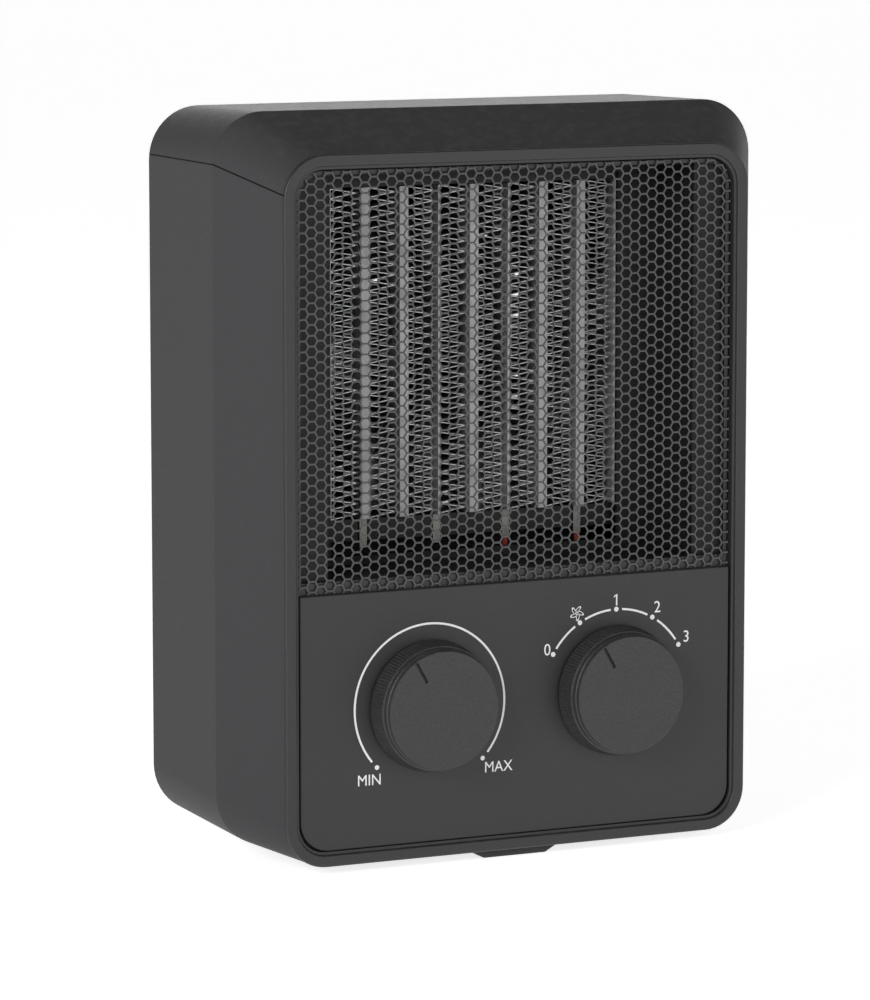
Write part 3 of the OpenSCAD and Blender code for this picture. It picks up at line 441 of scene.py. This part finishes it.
repeat(grille_mesh, everything(grille_mesh), (0, 0, HOLE_STEP_Z * MM), ROWS)
repeat(grille_mesh, everything(grille_mesh), (HOLE_STEP_X * MM, 0, HOLE_STEP_Z / 2 * MM), 2)
repeat(grille_mesh, everything(grille_mesh), (2 * HOLE_STEP_X * MM, 0, 0), COLUMN_PAIRS)
bmesh.ops.remove_doubles(grille_mesh, verts=grille_mesh.verts, dist=0.00002)
GRILLE_INSET, GRILLE_LOW = 5.6, 94.2
half, top, bottom = RIM_W / 2 - GRILLE_INSET, RIM_HIGH - GRILLE_INSET, GRILLE_LOW
radius = RIM_CORNER - GRILLE_INSET
cuts = [((half, top), (1, 0)), ((-half, top), (-1, 0)), ((0, top), (0, 1)), ((0, bottom), (0, -1))]
for side in (-1, 1):
    for angle in (15, 30, 45, 60, 75):
        across, up = math.cos(math.radians(angle)), math.sin(math.radians(angle))
        cuts.append(((side * (half - radius + radius * across), top - radius + radius * up),
                     (side * across, up)))
for (x, z), (across, up) in cuts:
    bmesh.ops.bisect_plane(grille_mesh, geom=everything(grille_mesh), clear_outer=True,
                           plane_co=(x * MM, 0, z * MM), plane_no=(across, 0, up))
bmesh.ops.solidify(grille_mesh, geom=grille_mesh.faces[:], thickness=SHEET_T * MM)
grille_paint, grille_tree, grille_shader, grille_place = maker("black_enamel", 0.33)
orange_peel = add(grille_tree, "ShaderNodeTexNoise",
                  {"Vector": grille_place, "Scale": 900.0, "Detail": 2.0})
streaks = add(grille_tree, "ShaderNodeTexNoise",
              {"Vector": grille_place, "Scale": 60.0, "Detail": 3.0})
grille_colour = ramp_between(grille_tree, streaks.outputs["Fac"], (0.05, 0.05, 0.052),
                             (0.085, 0.085, 0.087))
grille_tree.links.new(grille_colour, grille_shader.inputs["Base Color"])
grille_gloss = add(grille_tree, "ShaderNodeMapRange",
                   {"Value": streaks.outputs["Fac"], "To Min": 0.28, "To Max": 0.42})
grille_tree.links.new(grille_gloss.outputs["Result"], grille_shader.inputs["Roughness"])
grille_bump = add(grille_tree, "ShaderNodeBump",
                  {"Height": orange_peel.outputs["Fac"], "Distance": 0.02 * MM})
grille_tree.links.new(grille_bump.outputs["Normal"], grille_shader.inputs["Normal"])
grille = bpy.data.objects.new("grille_sheet", bpy.data.meshes.new("grille_sheet"))
grille_mesh.to_mesh(grille.data)
grille_mesh.free()
grille.data.shade_smooth()
grille.data.set_sharp_from_angle(angle=math.radians(50))
grille.data.materials.append(grille_paint)
scene.collection.objects.link(grille)
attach(grille, "root")
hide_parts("grille")

# Control panel: a flat charcoal plastic plate below the grille, with rounded lower corners and
# two holes for the threaded bushes of the controls, which clamp it.


def copy_of(node):
    """A merged copy of a CAD node with its flat faces made whole."""
    bm = bmesh.new()
    bm.from_mesh(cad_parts[node].data)
    bmesh.ops.remove_doubles(bm, verts=bm.verts, dist=0.000003)
    bmesh.ops.dissolve_limit(bm, angle_limit=math.radians(1), verts=bm.verts, edges=bm.edges)
    return bm


def corners(bm, degrees=35):
    """The edges where two faces meet at more than an angle."""
    limit = math.radians(degrees)
    return [e for e in bm.edges if len(e.link_faces) == 2 and e.calc_face_angle() > limit]


SIDE_GAP, LOWER_GAP = 1.4, 0.9
NEAR_SIDE, NEAR_BOTTOM = 70, 20
panel_mesh = copy_of("control_panel")
for vert in panel_mesh.verts:
    if abs(vert.co.x) > NEAR_SIDE * MM:
        vert.co.x -= math.copysign(SIDE_GAP * MM, vert.co.x)
    if vert.co.z < NEAR_BOTTOM * MM:
        vert.co.z += LOWER_GAP * MM
ease(panel_mesh, [e for e in corners(panel_mesh) if all(v.co.y < depth(1.6) for v in e.verts)], 0.5)
panel_plastic = moulding("charcoal_panel", (0.024, 0.024, 0.0254), 0.5, 1900, 0.035)
panel = finish_mesh("panel_plate", panel_mesh, panel_plastic)
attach(panel, "root")
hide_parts("control_panel")

# Printed scales: white ink, pad printed on the panel. A ring with two end dots and MIN and MAX
# for the thermostat, and five dots with arcs, a fan sign and the steps 0 to 3 for the mode.
KNOB_Z, THERMOSTAT_X, MODE_X, SCALE_R = 54.4, -33, 36.8, 27.6
SWEEP, MODE_STEP = 135, 30
INK_LINE, INK_T, WORD_CAP, FIGURE_CAP = 0.72, 0.04, 3.6, 3.9
ink_mesh = bmesh.new()
print_y = depth(1.44)


def dot(x, z, size):
    """A flat printed disc that faces the front."""
    place = Matrix.Translation((x * MM, print_y, z * MM)) @ Matrix.Rotation(math.radians(90), 4, "X")
    bmesh.ops.create_circle(ink_mesh, cap_ends=True, segments=24, radius=size * MM,
                            matrix=place)


def arc(x, z, size, width, start, end):
    """A flat printed arc; angles are clockwise from the top."""
    steps = max(3, round(abs(end - start) / 4))
    ends = []
    for r in (size - width / 2, size + width / 2):
        ends.append(ink_mesh.verts.new(((x + r * math.sin(math.radians(start))) * MM, print_y,
                                        (z + r * math.cos(math.radians(start))) * MM)))
    line = ink_mesh.edges.new(ends)
    bmesh.ops.spin(ink_mesh, geom=ends + [line], cent=(x * MM, print_y, z * MM), axis=(0, 1, 0),
                   steps=steps, angle=math.radians(end - start))


def lettering(words, x, z, cap):
    """Sans lettering of a cap height, made a mesh before it is placed."""
    text = bpy.data.curves.new("lettering", "FONT")
    text.body = words
    text.align_x = "CENTER"
    text.resolution_u = 5
    text.size = 1
    writing = bpy.data.objects.new("lettering", text)
    data = bpy.data.meshes.new_from_object(writing)
    high = max(v.co.y for v in data.vertices)
    size = cap / high * MM
    data.transform(Matrix.Translation((x * MM, print_y, (z - cap / 2) * MM))
                   @ Matrix.Rotation(math.radians(90), 4, "X")
                   @ Matrix.Diagonal((size * 0.94, size, size, 1)))
    ink_mesh.from_mesh(data)
    bpy.data.objects.remove(writing)
    bpy.data.meshes.remove(data)


arc(THERMOSTAT_X, KNOB_Z, SCALE_R, INK_LINE, 5.5 - SWEEP, SWEEP - 5.5)
for side in (-SWEEP, SWEEP):
    dot(THERMOSTAT_X + SCALE_R * math.sin(math.radians(side)),
        KNOB_Z + SCALE_R * math.cos(math.radians(side)), 0.8)
for step in range(-2, 3):
    dot(MODE_X + SCALE_R * math.sin(math.radians(MODE_STEP * step)),
        KNOB_Z + SCALE_R * math.cos(math.radians(MODE_STEP * step)), 0.85)
    if step < 2:
        arc(MODE_X, KNOB_Z, SCALE_R, INK_LINE, MODE_STEP * step + 4.5, MODE_STEP * step + 25.5)
lettering("MIN", -55.3, 30.9, WORD_CAP)
lettering("MAX", -7.6, 31.7, WORD_CAP)
for figure, x, z in (("0", 10.7, 70.0), ("1", 36.9, 85.2), ("2", 52.5, 81.8), ("3", 63.7, 70.9)):
    lettering(figure, x, z, FIGURE_CAP)
flag = [ink_mesh.verts.new((x * MM, print_y, z * MM))
        for x, z in ((36.75, 87.15), (36.75, 86.65), (35.85, 86.0), (35.85, 86.5))]
ink_mesh.faces.new(flag)
FAN_X, FAN_Z, PETALS, PETAL_OUT = 21.8, 81.6, 5, 1.35
for petal in range(PETALS):
    lean = 360 / PETALS * petal + 20
    centre_x = FAN_X + PETAL_OUT * math.sin(math.radians(lean))
    centre_z = FAN_Z + PETAL_OUT * math.cos(math.radians(lean))
    before = set(ink_mesh.verts)
    arc(centre_x, centre_z, 0.8, 0.34, 0, 360)
    blade = [v for v in ink_mesh.verts if v not in before]
    middle = Matrix.Translation((centre_x * MM, print_y, centre_z * MM))
    tilt = Matrix.Rotation(math.radians(lean + 25), 4, "Y")
    bmesh.ops.transform(ink_mesh, verts=blade,
                        matrix=middle @ tilt @ Matrix.Diagonal((0.62, 1, 1.45, 1)) @ middle.inverted())
bmesh.ops.remove_doubles(ink_mesh, verts=ink_mesh.verts, dist=0.000002)
for face in ink_mesh.faces:
    face.normal_update()
    if face.normal.y > 0:
        face.normal_flip()
sheet_faces = ink_mesh.faces[:]
bmesh.ops.solidify(ink_mesh, geom=sheet_faces, thickness=INK_T * MM)
white_ink, ink_tree, ink_shader, ink_place = maker("white_ink", 0.5)
ink_grain = add(ink_tree, "ShaderNodeTexNoise", {"Vector": ink_place, "Scale": 1500.0, "Detail": 2.0})
ink_colour = ramp_between(ink_tree, ink_grain.outputs["Fac"], (0.78, 0.78, 0.78), (0.9, 0.9, 0.9))
ink_tree.links.new(ink_colour, ink_shader.inputs["Base Color"])
ink_bump = add(ink_tree, "ShaderNodeBump", {"Height": ink_grain.outputs["Fac"], "Distance": 0.01 * MM})
ink_tree.links.new(ink_bump.outputs["Normal"], ink_shader.inputs["Normal"])
markings = finish_mesh("dial_print", ink_mesh, white_ink, merge=0.0000005)
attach(markings, "root")
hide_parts("dial_markings")

# Control knobs: black plastic mouldings pushed on to the D-shaped shafts. A ribbed skirt widens
# to the panel, a smooth collar runs round the flat face, and a one-sided notch shows the setting.
RIBS, RIB_DEPTH, RIB_INNER_R, RIB_LOW, RIB_HIGH = 120, 0.32, 20.9, 0.4, 6.8
NOTCH_NEAR, NOTCH_FAR, NOTCH_START = 0.1, 1.3, 11.6
KNOB_DEPTH = 0.9
# The knobs' edges lighten more strongly: partly wear, partly painted highlight.
knob_plastic = moulding("knob_plastic", (0.032, 0.032, 0.0335), 0.5, 1100, 0.1, wear_and_highlight=0.5, spread=0.5)
KNOB_PROFILE = [
    (0, 3.4), (5.5, 3.4), (5.5, 7.9), (16.4, 7.9), (17.4, 0.2), (21.7, 0.0), (22.1, 0.25),
    (22.25, 0.6), (21.15, 6.6), (21.0, 6.9), (20.7, 7.0), (20.55, 7.2), (20.35, 9.0),
    (20.2, 9.15), (20.05, 9.3), (19.98, 10.3), (19.8, 10.7), (19.4, 10.88)]


def knob(name, x):
    """One knob, spun about its shaft, ribbed and notched."""
    bm = bmesh.new()
    chain = [bm.verts.new(((x + r) * MM, depth(KNOB_DEPTH - out), KNOB_Z * MM))
             for r, out in KNOB_PROFILE]
    lines = [bm.edges.new(pair) for pair in zip(chain, chain[1:])]
    bmesh.ops.spin(bm, geom=chain + lines, cent=(x * MM, 0, KNOB_Z * MM), axis=(0, 1, 0),
                   steps=2 * RIBS, angle=math.tau, use_merge=True)
    bmesh.ops.remove_doubles(bm, verts=bm.verts, dist=0.00001)
    for vert in bm.verts:
        across, up = vert.co.x - x * MM, vert.co.z - KNOB_Z * MM
        out = (depth(KNOB_DEPTH) - vert.co.y) / MM
        far = math.hypot(across, up) / MM
        column = round(math.atan2(up, across) / math.tau * 2 * RIBS)
        if column % 2 and far > RIB_INNER_R and RIB_LOW < out < RIB_HIGH:
            shrink = (far - RIB_DEPTH) / far
            vert.co.x = x * MM + across * shrink
            vert.co.z = KNOB_Z * MM + up * shrink
    rim = [e for e in bm.edges if e.is_boundary]
    face = bmesh.ops.contextual_create(bm, geom=rim)["faces"][0]
    along = Vector((-0.5, 0, math.sqrt(0.75)))
    beside = Vector((-math.sqrt(0.75), 0, -0.5))
    centre = Vector((x * MM, face.verts[0].co.y, KNOB_Z * MM))
    flat = [face]
    for origin, normal in ((centre + beside * NOTCH_NEAR * MM, beside),
                           (centre + beside * NOTCH_FAR * MM, beside),
                           (centre + along * NOTCH_START * MM, along)):
        geom = flat + list({e for f in flat for e in f.edges}) + list({v for f in flat for v in f.verts})
        bmesh.ops.bisect_plane(bm, geom=geom, plane_co=origin, plane_no=normal)
        flat = [f for f in bm.faces if all(abs(v.co.y - centre.y) < 1e-7 for v in f.verts)]
    notch = [f for f in flat
             if NOTCH_NEAR < (f.calc_center_median() - centre).dot(beside) / MM < NOTCH_FAR
             and (f.calc_center_median() - centre).dot(along) / MM > NOTCH_START]
    sunk = bmesh.ops.extrude_face_region(bm, geom=notch)["geom"]
    for vert in [g for g in sunk if isinstance(g, bmesh.types.BMVert)]:
        aside = (vert.co - centre).dot(beside) / MM
        vert.co.y += (0.75 if aside < 0.5 else 0.04) * MM
    bmesh.ops.delete(bm, geom=notch, context="FACES_ONLY")
    return finish_mesh(name, bm, knob_plastic, sharp=28, merge=0.000002)


thermostat_knob = knob("thermostat_dial_knob", THERMOSTAT_X)
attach(thermostat_knob, "thermostat_dial")
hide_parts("thermostat_knob")
mode_knob = knob("mode_dial_knob", MODE_X)
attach(mode_knob, "mode_dial")
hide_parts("mode_knob")

# Thermostat and mode switch: two housings clamped behind the panel by hexagonal nuts on their
# threaded bushes. The thermostat's is cream steatite with a bimetal arm and the switch's is black
# resin. Both have flat tinned tabs at the rear, and D-shaped steel shafts.


def paint(node, material):
    """Gives a CAD node its procedural material."""
    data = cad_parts[node].data
    data.materials.clear()
    data.materials.append(material)


def eased_copy(node, material, width, degrees=35):
    """A merged copy of a CAD node with its edges slightly rounded."""
    bm = copy_of(node)
    if width:
        ease(bm, corners(bm, degrees), width, 2)
    return finish_mesh(node + "_eased", bm, material, merge=0.000002)


def metal(name, colour, roughness, stretch, tarnish=0.3, depth_mm=0.01, metallic=1.0):
    """Bare metal: drawn or rolled lines along one direction, cloudy tarnish and uneven gloss."""
    material, tree, shader, place = maker(name, roughness, metallic)
    drawn = add(tree, "ShaderNodeMapping", {"Vector": place})
    drawn.inputs["Scale"].default_value = stretch
    lines = add(tree, "ShaderNodeTexNoise", {"Vector": drawn.outputs["Vector"], "Scale": 1.0, "Detail": 4.0})
    stains = add(tree, "ShaderNodeTexNoise", {"Vector": place, "Scale": 140.0, "Detail": 5.0})
    tone = ramp_between(tree, lines.outputs["Fac"], tuple(c * 0.82 for c in colour), colour)
    stained = add(tree, "ShaderNodeMapRange",
                  {"Value": stains.outputs["Fac"], "From Min": 0.45, "From Max": 0.8,
                   "To Min": 0.0, "To Max": tarnish})
    tone = mix_colour(tree, stained.outputs["Result"], tone, tuple(c * 0.45 for c in colour))
    tree.links.new(tone, shader.inputs["Base Color"])
    gloss = add(tree, "ShaderNodeMapRange",
                {"Value": stains.outputs["Fac"], "To Min": roughness - 0.1, "To Max": roughness + 0.15})
    tree.links.new(gloss.outputs["Result"], shader.inputs["Roughness"])
    bump = add(tree, "ShaderNodeBump", {"Height": lines.outputs["Fac"], "Distance": depth_mm * MM})
    tree.links.new(bump.outputs["Normal"], shader.inputs["Normal"])
    return material


def fired(name, colour, cells, specks=0.35):
    """Unglazed fired ceramic: chalky, with darker specks and tiny pores."""
    material, tree, shader, place = maker(name, 0.75, specular=0.35)
    pores = add(tree, "ShaderNodeTexVoronoi", {"Vector": place, "Scale": cells})
    clouds = add(tree, "ShaderNodeTexNoise", {"Vector": place, "Scale": cells / 8, "Detail": 6.0})
    tone = ramp_between(tree, clouds.outputs["Fac"], tuple(c * 0.8 for c in colour), colour)
    dots = add(tree, "ShaderNodeMapRange",
               {"Value": pores.outputs["Distance"], "From Min": 0.25, "From Max": 0.1,
                "To Min": 0.0, "To Max": specks})
    tone = mix_colour(tree, dots.outputs["Result"], tone, tuple(c * 0.5 for c in colour))
    tree.links.new(tone, shader.inputs["Base Color"])
    bump = add(tree, "ShaderNodeBump", {"Height": pores.outputs["Distance"], "Distance": 0.04 * MM})
    tree.links.new(bump.outputs["Normal"], shader.inputs["Normal"])
    return material


def fit_up(names, material, width, body="root"):
    """Eased copies of like CAD nodes, all with one finish, each on its body."""
    for node in names:
        piece = eased_copy(node, material, width)
        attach(piece, body)
        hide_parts(node)


steatite = fired("cream_steatite", (0.7, 0.67, 0.58), 900)
black_resin = moulding("black_resin", (0.013, 0.013, 0.0135), 0.45, 700, 0.04, dust=0.06, specular=0.35)
steel = metal("zinc_steel", (0.62, 0.63, 0.64), 0.34, (300, 4000, 300))
tinned = metal("tinned_brass", (0.8, 0.78, 0.7), 0.3, (300, 3000, 3000))
brass = metal("plain_brass", (0.72, 0.55, 0.25), 0.32, (3000, 3000, 300))
fit_up(["thermostat_body"], steatite, 0.4)
fit_up(["switch_body"], black_resin, 0.4)
fit_up(["thermostat_nut", "switch_nut"], steel, 0.25)
fit_up(["thermostat_terminals", "switch_terminals"], tinned, 0.15)
fit_up(["thermostat_bimetal"], brass, 0.15)
paint("thermostat_shaft", steel)
paint("mode_shaft", steel)

# Air duct: a box of dark heat-resistant plastic that leads the air from the fan through the
# element to the grille. A flat baffle with a window holds the element.
duct_plastic = moulding("duct_plastic", (0.02, 0.02, 0.0208), 0.55, 900, 0.05, dust=0.08, specular=0.3)
fit_up(["inner_duct"], duct_plastic, 0.5)

# Heating element: five aluminium tubes with ceramic heating stones pressed inside, and between
# them columns of folded aluminium strip, held by thin plates and two resin bars. Tinned tabs
# stand out below it, coloured darker than the controls' tabs as painted shade.
FIN_X, FIN_DEPTH, FOLDS, FIN_THICK = (7.15, 19.05, 33.35, 47.65), (37.2, 50.8), 32, 0.3
fin_low, fin_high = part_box("element_fins")
fold_rise = (fin_high.z - fin_low.z - FIN_THICK * MM) / FOLDS
FIN_BEND = 0.35
fin_half = 5.3 * MM
fin_mesh = bmesh.new()
fold = [fin_mesh.verts.new((x, depth(FIN_DEPTH[0]), fin_low.z + FIN_THICK / 2 * MM + up))
        for x, up in ((-fin_half, 0), (fin_half, fold_rise / 2), (-fin_half, fold_rise))]
for pair in zip(fold, fold[1:]):
    fin_mesh.edges.new(pair)
repeat(fin_mesh, everything(fin_mesh), (0, 0, fold_rise), FOLDS)
bmesh.ops.remove_doubles(fin_mesh, verts=fin_mesh.verts, dist=0.000005)
strip = bmesh.ops.extrude_edge_only(fin_mesh, edges=fin_mesh.edges[:])["geom"]
bmesh.ops.translate(fin_mesh, verts=[g for g in strip if isinstance(g, bmesh.types.BMVert)],
                    vec=(0, (FIN_DEPTH[1] - FIN_DEPTH[0]) * MM, 0))
ease(fin_mesh, corners(fin_mesh, 20), FIN_BEND)
bmesh.ops.solidify(fin_mesh, geom=fin_mesh.faces[:], thickness=FIN_THICK * MM)
bmesh.ops.translate(fin_mesh, verts=fin_mesh.verts, vec=(-FIN_X[-1] * MM, 0, 0))
columns = sorted([-x for x in FIN_X] + list(FIN_X))
first_column = everything(fin_mesh)
for column in columns[1:]:
    copy = bmesh.ops.duplicate(fin_mesh, geom=first_column)["geom"]
    bmesh.ops.translate(fin_mesh, verts=[g for g in copy if isinstance(g, bmesh.types.BMVert)],
                        vec=((column - columns[0]) * MM, 0, 0))
fin_aluminium = metal("fin_aluminium", (0.62, 0.63, 0.64), 0.36, (200, 200, 3000), tarnish=0.3)
fins = finish_mesh("folded_fins", fin_mesh, fin_aluminium, merge=0.000001)
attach(fins, "root")
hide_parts("element_fins")
tube_aluminium = metal("tube_aluminium", (0.54, 0.54, 0.54), 0.5, (900, 900, 900), tarnish=0.75,
                       depth_mm=0.05, metallic=0.6)
fit_up(["element_tubes", "element_plates"], tube_aluminium, 0.12)
fit_up(["element_frame_top", "element_frame_bottom"], black_resin, 0.5)
# The element's tabs are tinned like the controls' tabs but coloured far darker: painted shade.
shaded_tin = metal("shaded_tin", (0.3, 0.29, 0.27), 0.4, (300, 3000, 3000), tarnish=0.6)
fit_up(["element_terminals"], shaded_tin, 0.12)
stone = fired("heating_stone", (0.28, 0.26, 0.24), 1500)
paint("ceramic_stones", stone)

# Safety parts: a snap-action thermal cut-out in a plated steel can, and a small one-shot fuse in
# a ceramic sleeve. Both stand beside the element.
fit_up(["thermal_cutout"], steel, 0.2)
fit_up(["thermal_fuse"], steatite, 0.15)

# Fan: a moulded shroud behind the duct, a spider that carries the motor, and a seven-blade
# impeller pressed on the motor's steel shaft.
fan_plastic = moulding("fan_plastic", (0.06, 0.06, 0.062), 0.38, 1300, 0.02, dust=0.3)
fit_up(["fan_shroud", "motor_spider"], duct_plastic, 0.4)
fit_up(["fan_impeller"], fan_plastic, 0.2, body="fan_rotor")

# Motor: a shaded-pole motor. A stack of steel laminations with one taped copper coil, a squirrel
# cage rotor on the shaft, and two pressed brackets with sintered bronze bearings.


def banded(name, colour, bands, axis, roughness, metallic, ridge):
    """A stack or winding: fine parallel bands along one axis, in tone and in bump."""
    material, tree, shader, place = maker(name, roughness, metallic)
    wave = add(tree, "ShaderNodeTexWave", {"Vector": place, "Scale": bands, "Distortion": 0.4},
               bands_direction=axis)
    patches = add(tree, "ShaderNodeTexNoise", {"Vector": place, "Scale": 160.0, "Detail": 4.0})
    tone = ramp_between(tree, wave.outputs["Fac"], tuple(c * 0.55 for c in colour), colour)
    aged = add(tree, "ShaderNodeMapRange", {"Value": patches.outputs["Fac"], "To Max": 0.5})
    tone = mix_colour(tree, aged.outputs["Result"], tone, tuple(c * 0.6 for c in colour))
    tree.links.new(tone, shader.inputs["Base Color"])
    bump = add(tree, "ShaderNodeBump", {"Height": wave.outputs["Fac"], "Distance": ridge * MM})
    tree.links.new(bump.outputs["Normal"], shader.inputs["Normal"])
    return material


laminations = banded("laminated_steel", (0.4, 0.41, 0.42), 320, "Y", 0.45, 0.9, 0.06)
taped_copper = banded("taped_copper", (0.5, 0.2, 0.07), 260, "X", 0.5, 0.0, 0.08)
bronze = metal("sintered_bronze", (0.55, 0.38, 0.18), 0.45, (1500, 1500, 1500))
paint("motor_shaft", steel)
paint("motor_rotor", laminations)
fit_up(["motor_stator"], laminations, 0.2)
fit_up(["motor_coil"], taped_copper, 1.2)
fit_up(["motor_bracket_front", "motor_bracket_rear"], steel, 0.3)
paint("motor_bearings", bronze)

# Screws: zinc-plated steel pan heads with a cross recess, which hold the cover, the motor and the
# cord clamp, and small brass ones in the terminal block. Each is turned from one profile.


def screw(bm, place, shaft_r, shaft_len, head_r, head_h):
    """One pan-head screw along its own Z, with the head's underside at zero."""
    one = bmesh.new()
    profile = [(0, -shaft_len), (shaft_r * 0.7, -shaft_len), (shaft_r, -shaft_len + shaft_r * 0.5),
               (shaft_r, 0), (head_r, 0), (head_r, head_h * 0.4), (head_r * 0.93, head_h * 0.75),
               (head_r * 0.8, head_h * 0.95), (head_r * 0.68, head_h)]
    chain = [one.verts.new((r * MM, 0, z * MM)) for r, z in profile]
    lines = [one.edges.new(pair) for pair in zip(chain, chain[1:])]
    bmesh.ops.spin(one, geom=chain + lines, cent=(0, 0, 0), axis=(0, 0, 1), steps=32,
                   angle=math.tau, use_merge=True)
    bmesh.ops.remove_doubles(one, verts=one.verts, dist=0.000001)
    bmesh.ops.contextual_create(one, geom=[e for e in one.edges if e.is_boundary])
    level = head_h * MM
    wide, long = head_r * 0.11 * MM, head_r * 0.5 * MM
    for across in ((1, 0, 0), (0, 1, 0)):
        for away in (-long, -wide, wide, long):
            lid = [f for f in one.faces if all(abs(v.co.z - level) < 1e-8 for v in f.verts)]
            geom = lid + list({e for f in lid for e in f.edges}) + list({v for f in lid for v in f.verts})
            bmesh.ops.bisect_plane(one, geom=geom, plane_co=Vector(across) * away, plane_no=across)
    cross = []
    for face in one.faces:
        at = face.calc_center_median()
        if abs(at.z - level) < 1e-8 and ((abs(at.x) < wide and abs(at.y) < long)
                                         or (abs(at.y) < wide and abs(at.x) < long)):
            cross.append(face)
    sunk = bmesh.ops.extrude_face_region(one, geom=cross)["geom"]
    moved = [g for g in sunk if isinstance(g, bmesh.types.BMVert)]
    bmesh.ops.translate(one, verts=moved, vec=(0, 0, -head_h * 0.7 * MM))
    bmesh.ops.scale(one, verts=moved, vec=(0.6, 0.6, 1))
    bmesh.ops.delete(one, geom=cross, context="FACES_ONLY")
    bmesh.ops.transform(one, matrix=place, verts=one.verts)
    data = bpy.data.meshes.new("screw")
    one.to_mesh(data)
    one.free()
    bm.from_mesh(data)
    bpy.data.meshes.remove(data)


def to_rear(x, d, z):
    """A screw's place with its head towards the rear."""
    return Matrix.Translation((x * MM, depth(d), z * MM)) @ Matrix.Rotation(math.radians(-90), 4, "X")


def upright(x, d, z):
    """A screw's place with its head up."""
    return Matrix.Translation((x * MM, depth(d), z * MM)) @ Matrix.Rotation(0.4, 4, "Z")


# Each set's places, then the radius and length of its shafts and the radius and height of its heads.
SCREW_SETS = {
    "cover_screws": ([to_rear(s * 91, 84, z) for s in (-1, 1) for z in (48, 204)], 1.5, 17, 3, 1.8),
    "motor_screws": ([to_rear(s * 20, 102.5, 165) for s in (-1, 1)], 1.5, 26.9, 2.8, 2),
    "clamp_screws": ([upright(60 + s * 10, 96.8, 42) for s in (-1, 1)], 1.5, 12, 2.6, 1.6),
    "terminal_screws": ([upright(9 * i, 62 + 4 * s, 22) for i in (-1, 0, 1) for s in (-1, 1)],
                        1.5, 4, 1.8, 2),
}
for node, (places, shaft_r, shaft_len, head_r, head_h) in SCREW_SETS.items():
    screw_mesh = bmesh.new()
    for place in places:
        screw(screw_mesh, place, shaft_r, shaft_len, head_r, head_h)
    is_brass = node == "terminal_screws"
    screws = finish_mesh(node + "_cross_head", screw_mesh, brass if is_brass else steel, merge=0.0000005)
    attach(screws, "root")
    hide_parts(node)

# Rear cover: a raised charcoal moulding with two fields of air slots, set into the sleeve and
# held by four screws. The cord's gland sits in it, low down on the mode knob's side.
cover_plastic = moulding("charcoal_cover", (0.05, 0.05, 0.052), 0.5, 1700, 0.05, specular=0.1)
fit_up(["rear_cover"], cover_plastic, 0.45)
GLAND_X, GLAND_Z = 60, 35
gland_mesh = bmesh.new()
gland_profile = [(4.3, 101.4), (6.3, 101.4), (6.38, 101.8), (6.38, 107.3), (6.1, 107.9), (5.4, 107.95),
                 (4.6, 107.6), (4.05, 106.6), (4.05, 103), (4.3, 101.4)]
gland_chain = [gland_mesh.verts.new(((GLAND_X + r) * MM, depth(d), GLAND_Z * MM))
               for r, d in gland_profile]
gland_lines = [gland_mesh.edges.new(pair) for pair in zip(gland_chain, gland_chain[1:])]
bmesh.ops.spin(gland_mesh, geom=gland_chain + gland_lines, cent=(GLAND_X * MM, 0, GLAND_Z * MM),
               axis=(0, 1, 0), steps=48, angle=math.tau, use_merge=True)
rubber = moulding("black_rubber", (0.022, 0.022, 0.022), 0.68, 900, 0.03, wear_and_highlight=0.1, dust=0.15)
gland = finish_mesh("cord_gland_ring", gland_mesh, rubber)
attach(gland, "root")
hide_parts("cord_gland")
fit_up(["cord_clamp"], steatite, 0.3)

# Terminal block: a block of fired cream steatite on the floor of the case. Its brass screws
# clamp the ends of the cord and of the leads inside.
fit_up(["terminal_block"], steatite, 0.4)

# Tip-over switch: a black resin housing on the floor, a white plunger that the floor holds in
# while the heater stands, and a steel spring above it.
fit_up(["tip_switch_body"], black_resin, 0.4)
plunger_resin = moulding("plunger_resin", (0.6, 0.6, 0.58), 0.4, 800, 0.02, wear_and_highlight=0.0, dust=0.0)
fit_up(["tip_plunger"], plunger_resin, 0.25, body="tip_over_plunger")
paint("tip_spring", steel)

# Feet: a flat charcoal foot with slanted ends under the front edge, moulded with the shell, and
# four rubber feet pressed into its floor.
fit_up(["front_foot"], shell_plastic, 0.4)
paint("rubber_feet", rubber)

# Internal leads: single-core wires that run between the terminal block, the controls, the
# element and the motor. Brown and blue PVC serves the mains side, red and white silicone the rest.


def insulation(name, colour, roughness):
    """Extruded insulation: smooth, with faint flow streaks."""
    material, tree, shader, place = maker(name, roughness)
    streaks = add(tree, "ShaderNodeTexNoise", {"Vector": place, "Scale": 220.0, "Detail": 3.0})
    tone = ramp_between(tree, streaks.outputs["Fac"], tuple(c * 0.8 for c in colour), colour)
    tree.links.new(tone, shader.inputs["Base Color"])
    bump = add(tree, "ShaderNodeBump", {"Height": streaks.outputs["Fac"], "Distance": 0.02 * MM})
    tree.links.new(bump.outputs["Normal"], shader.inputs["Normal"])
    return material


paint("live_wire", insulation("brown_pvc", (0.15, 0.06, 0.03), 0.4))
paint("neutral_wire", insulation("blue_pvc", (0.04, 0.1, 0.3), 0.4))
red_silicone = insulation("red_silicone", (0.35, 0.03, 0.02), 0.5)
paint("low_heat_wire", red_silicone)
paint("high_heat_wire", red_silicone)
paint("motor_wire", insulation("white_silicone", (0.75, 0.75, 0.73), 0.5))
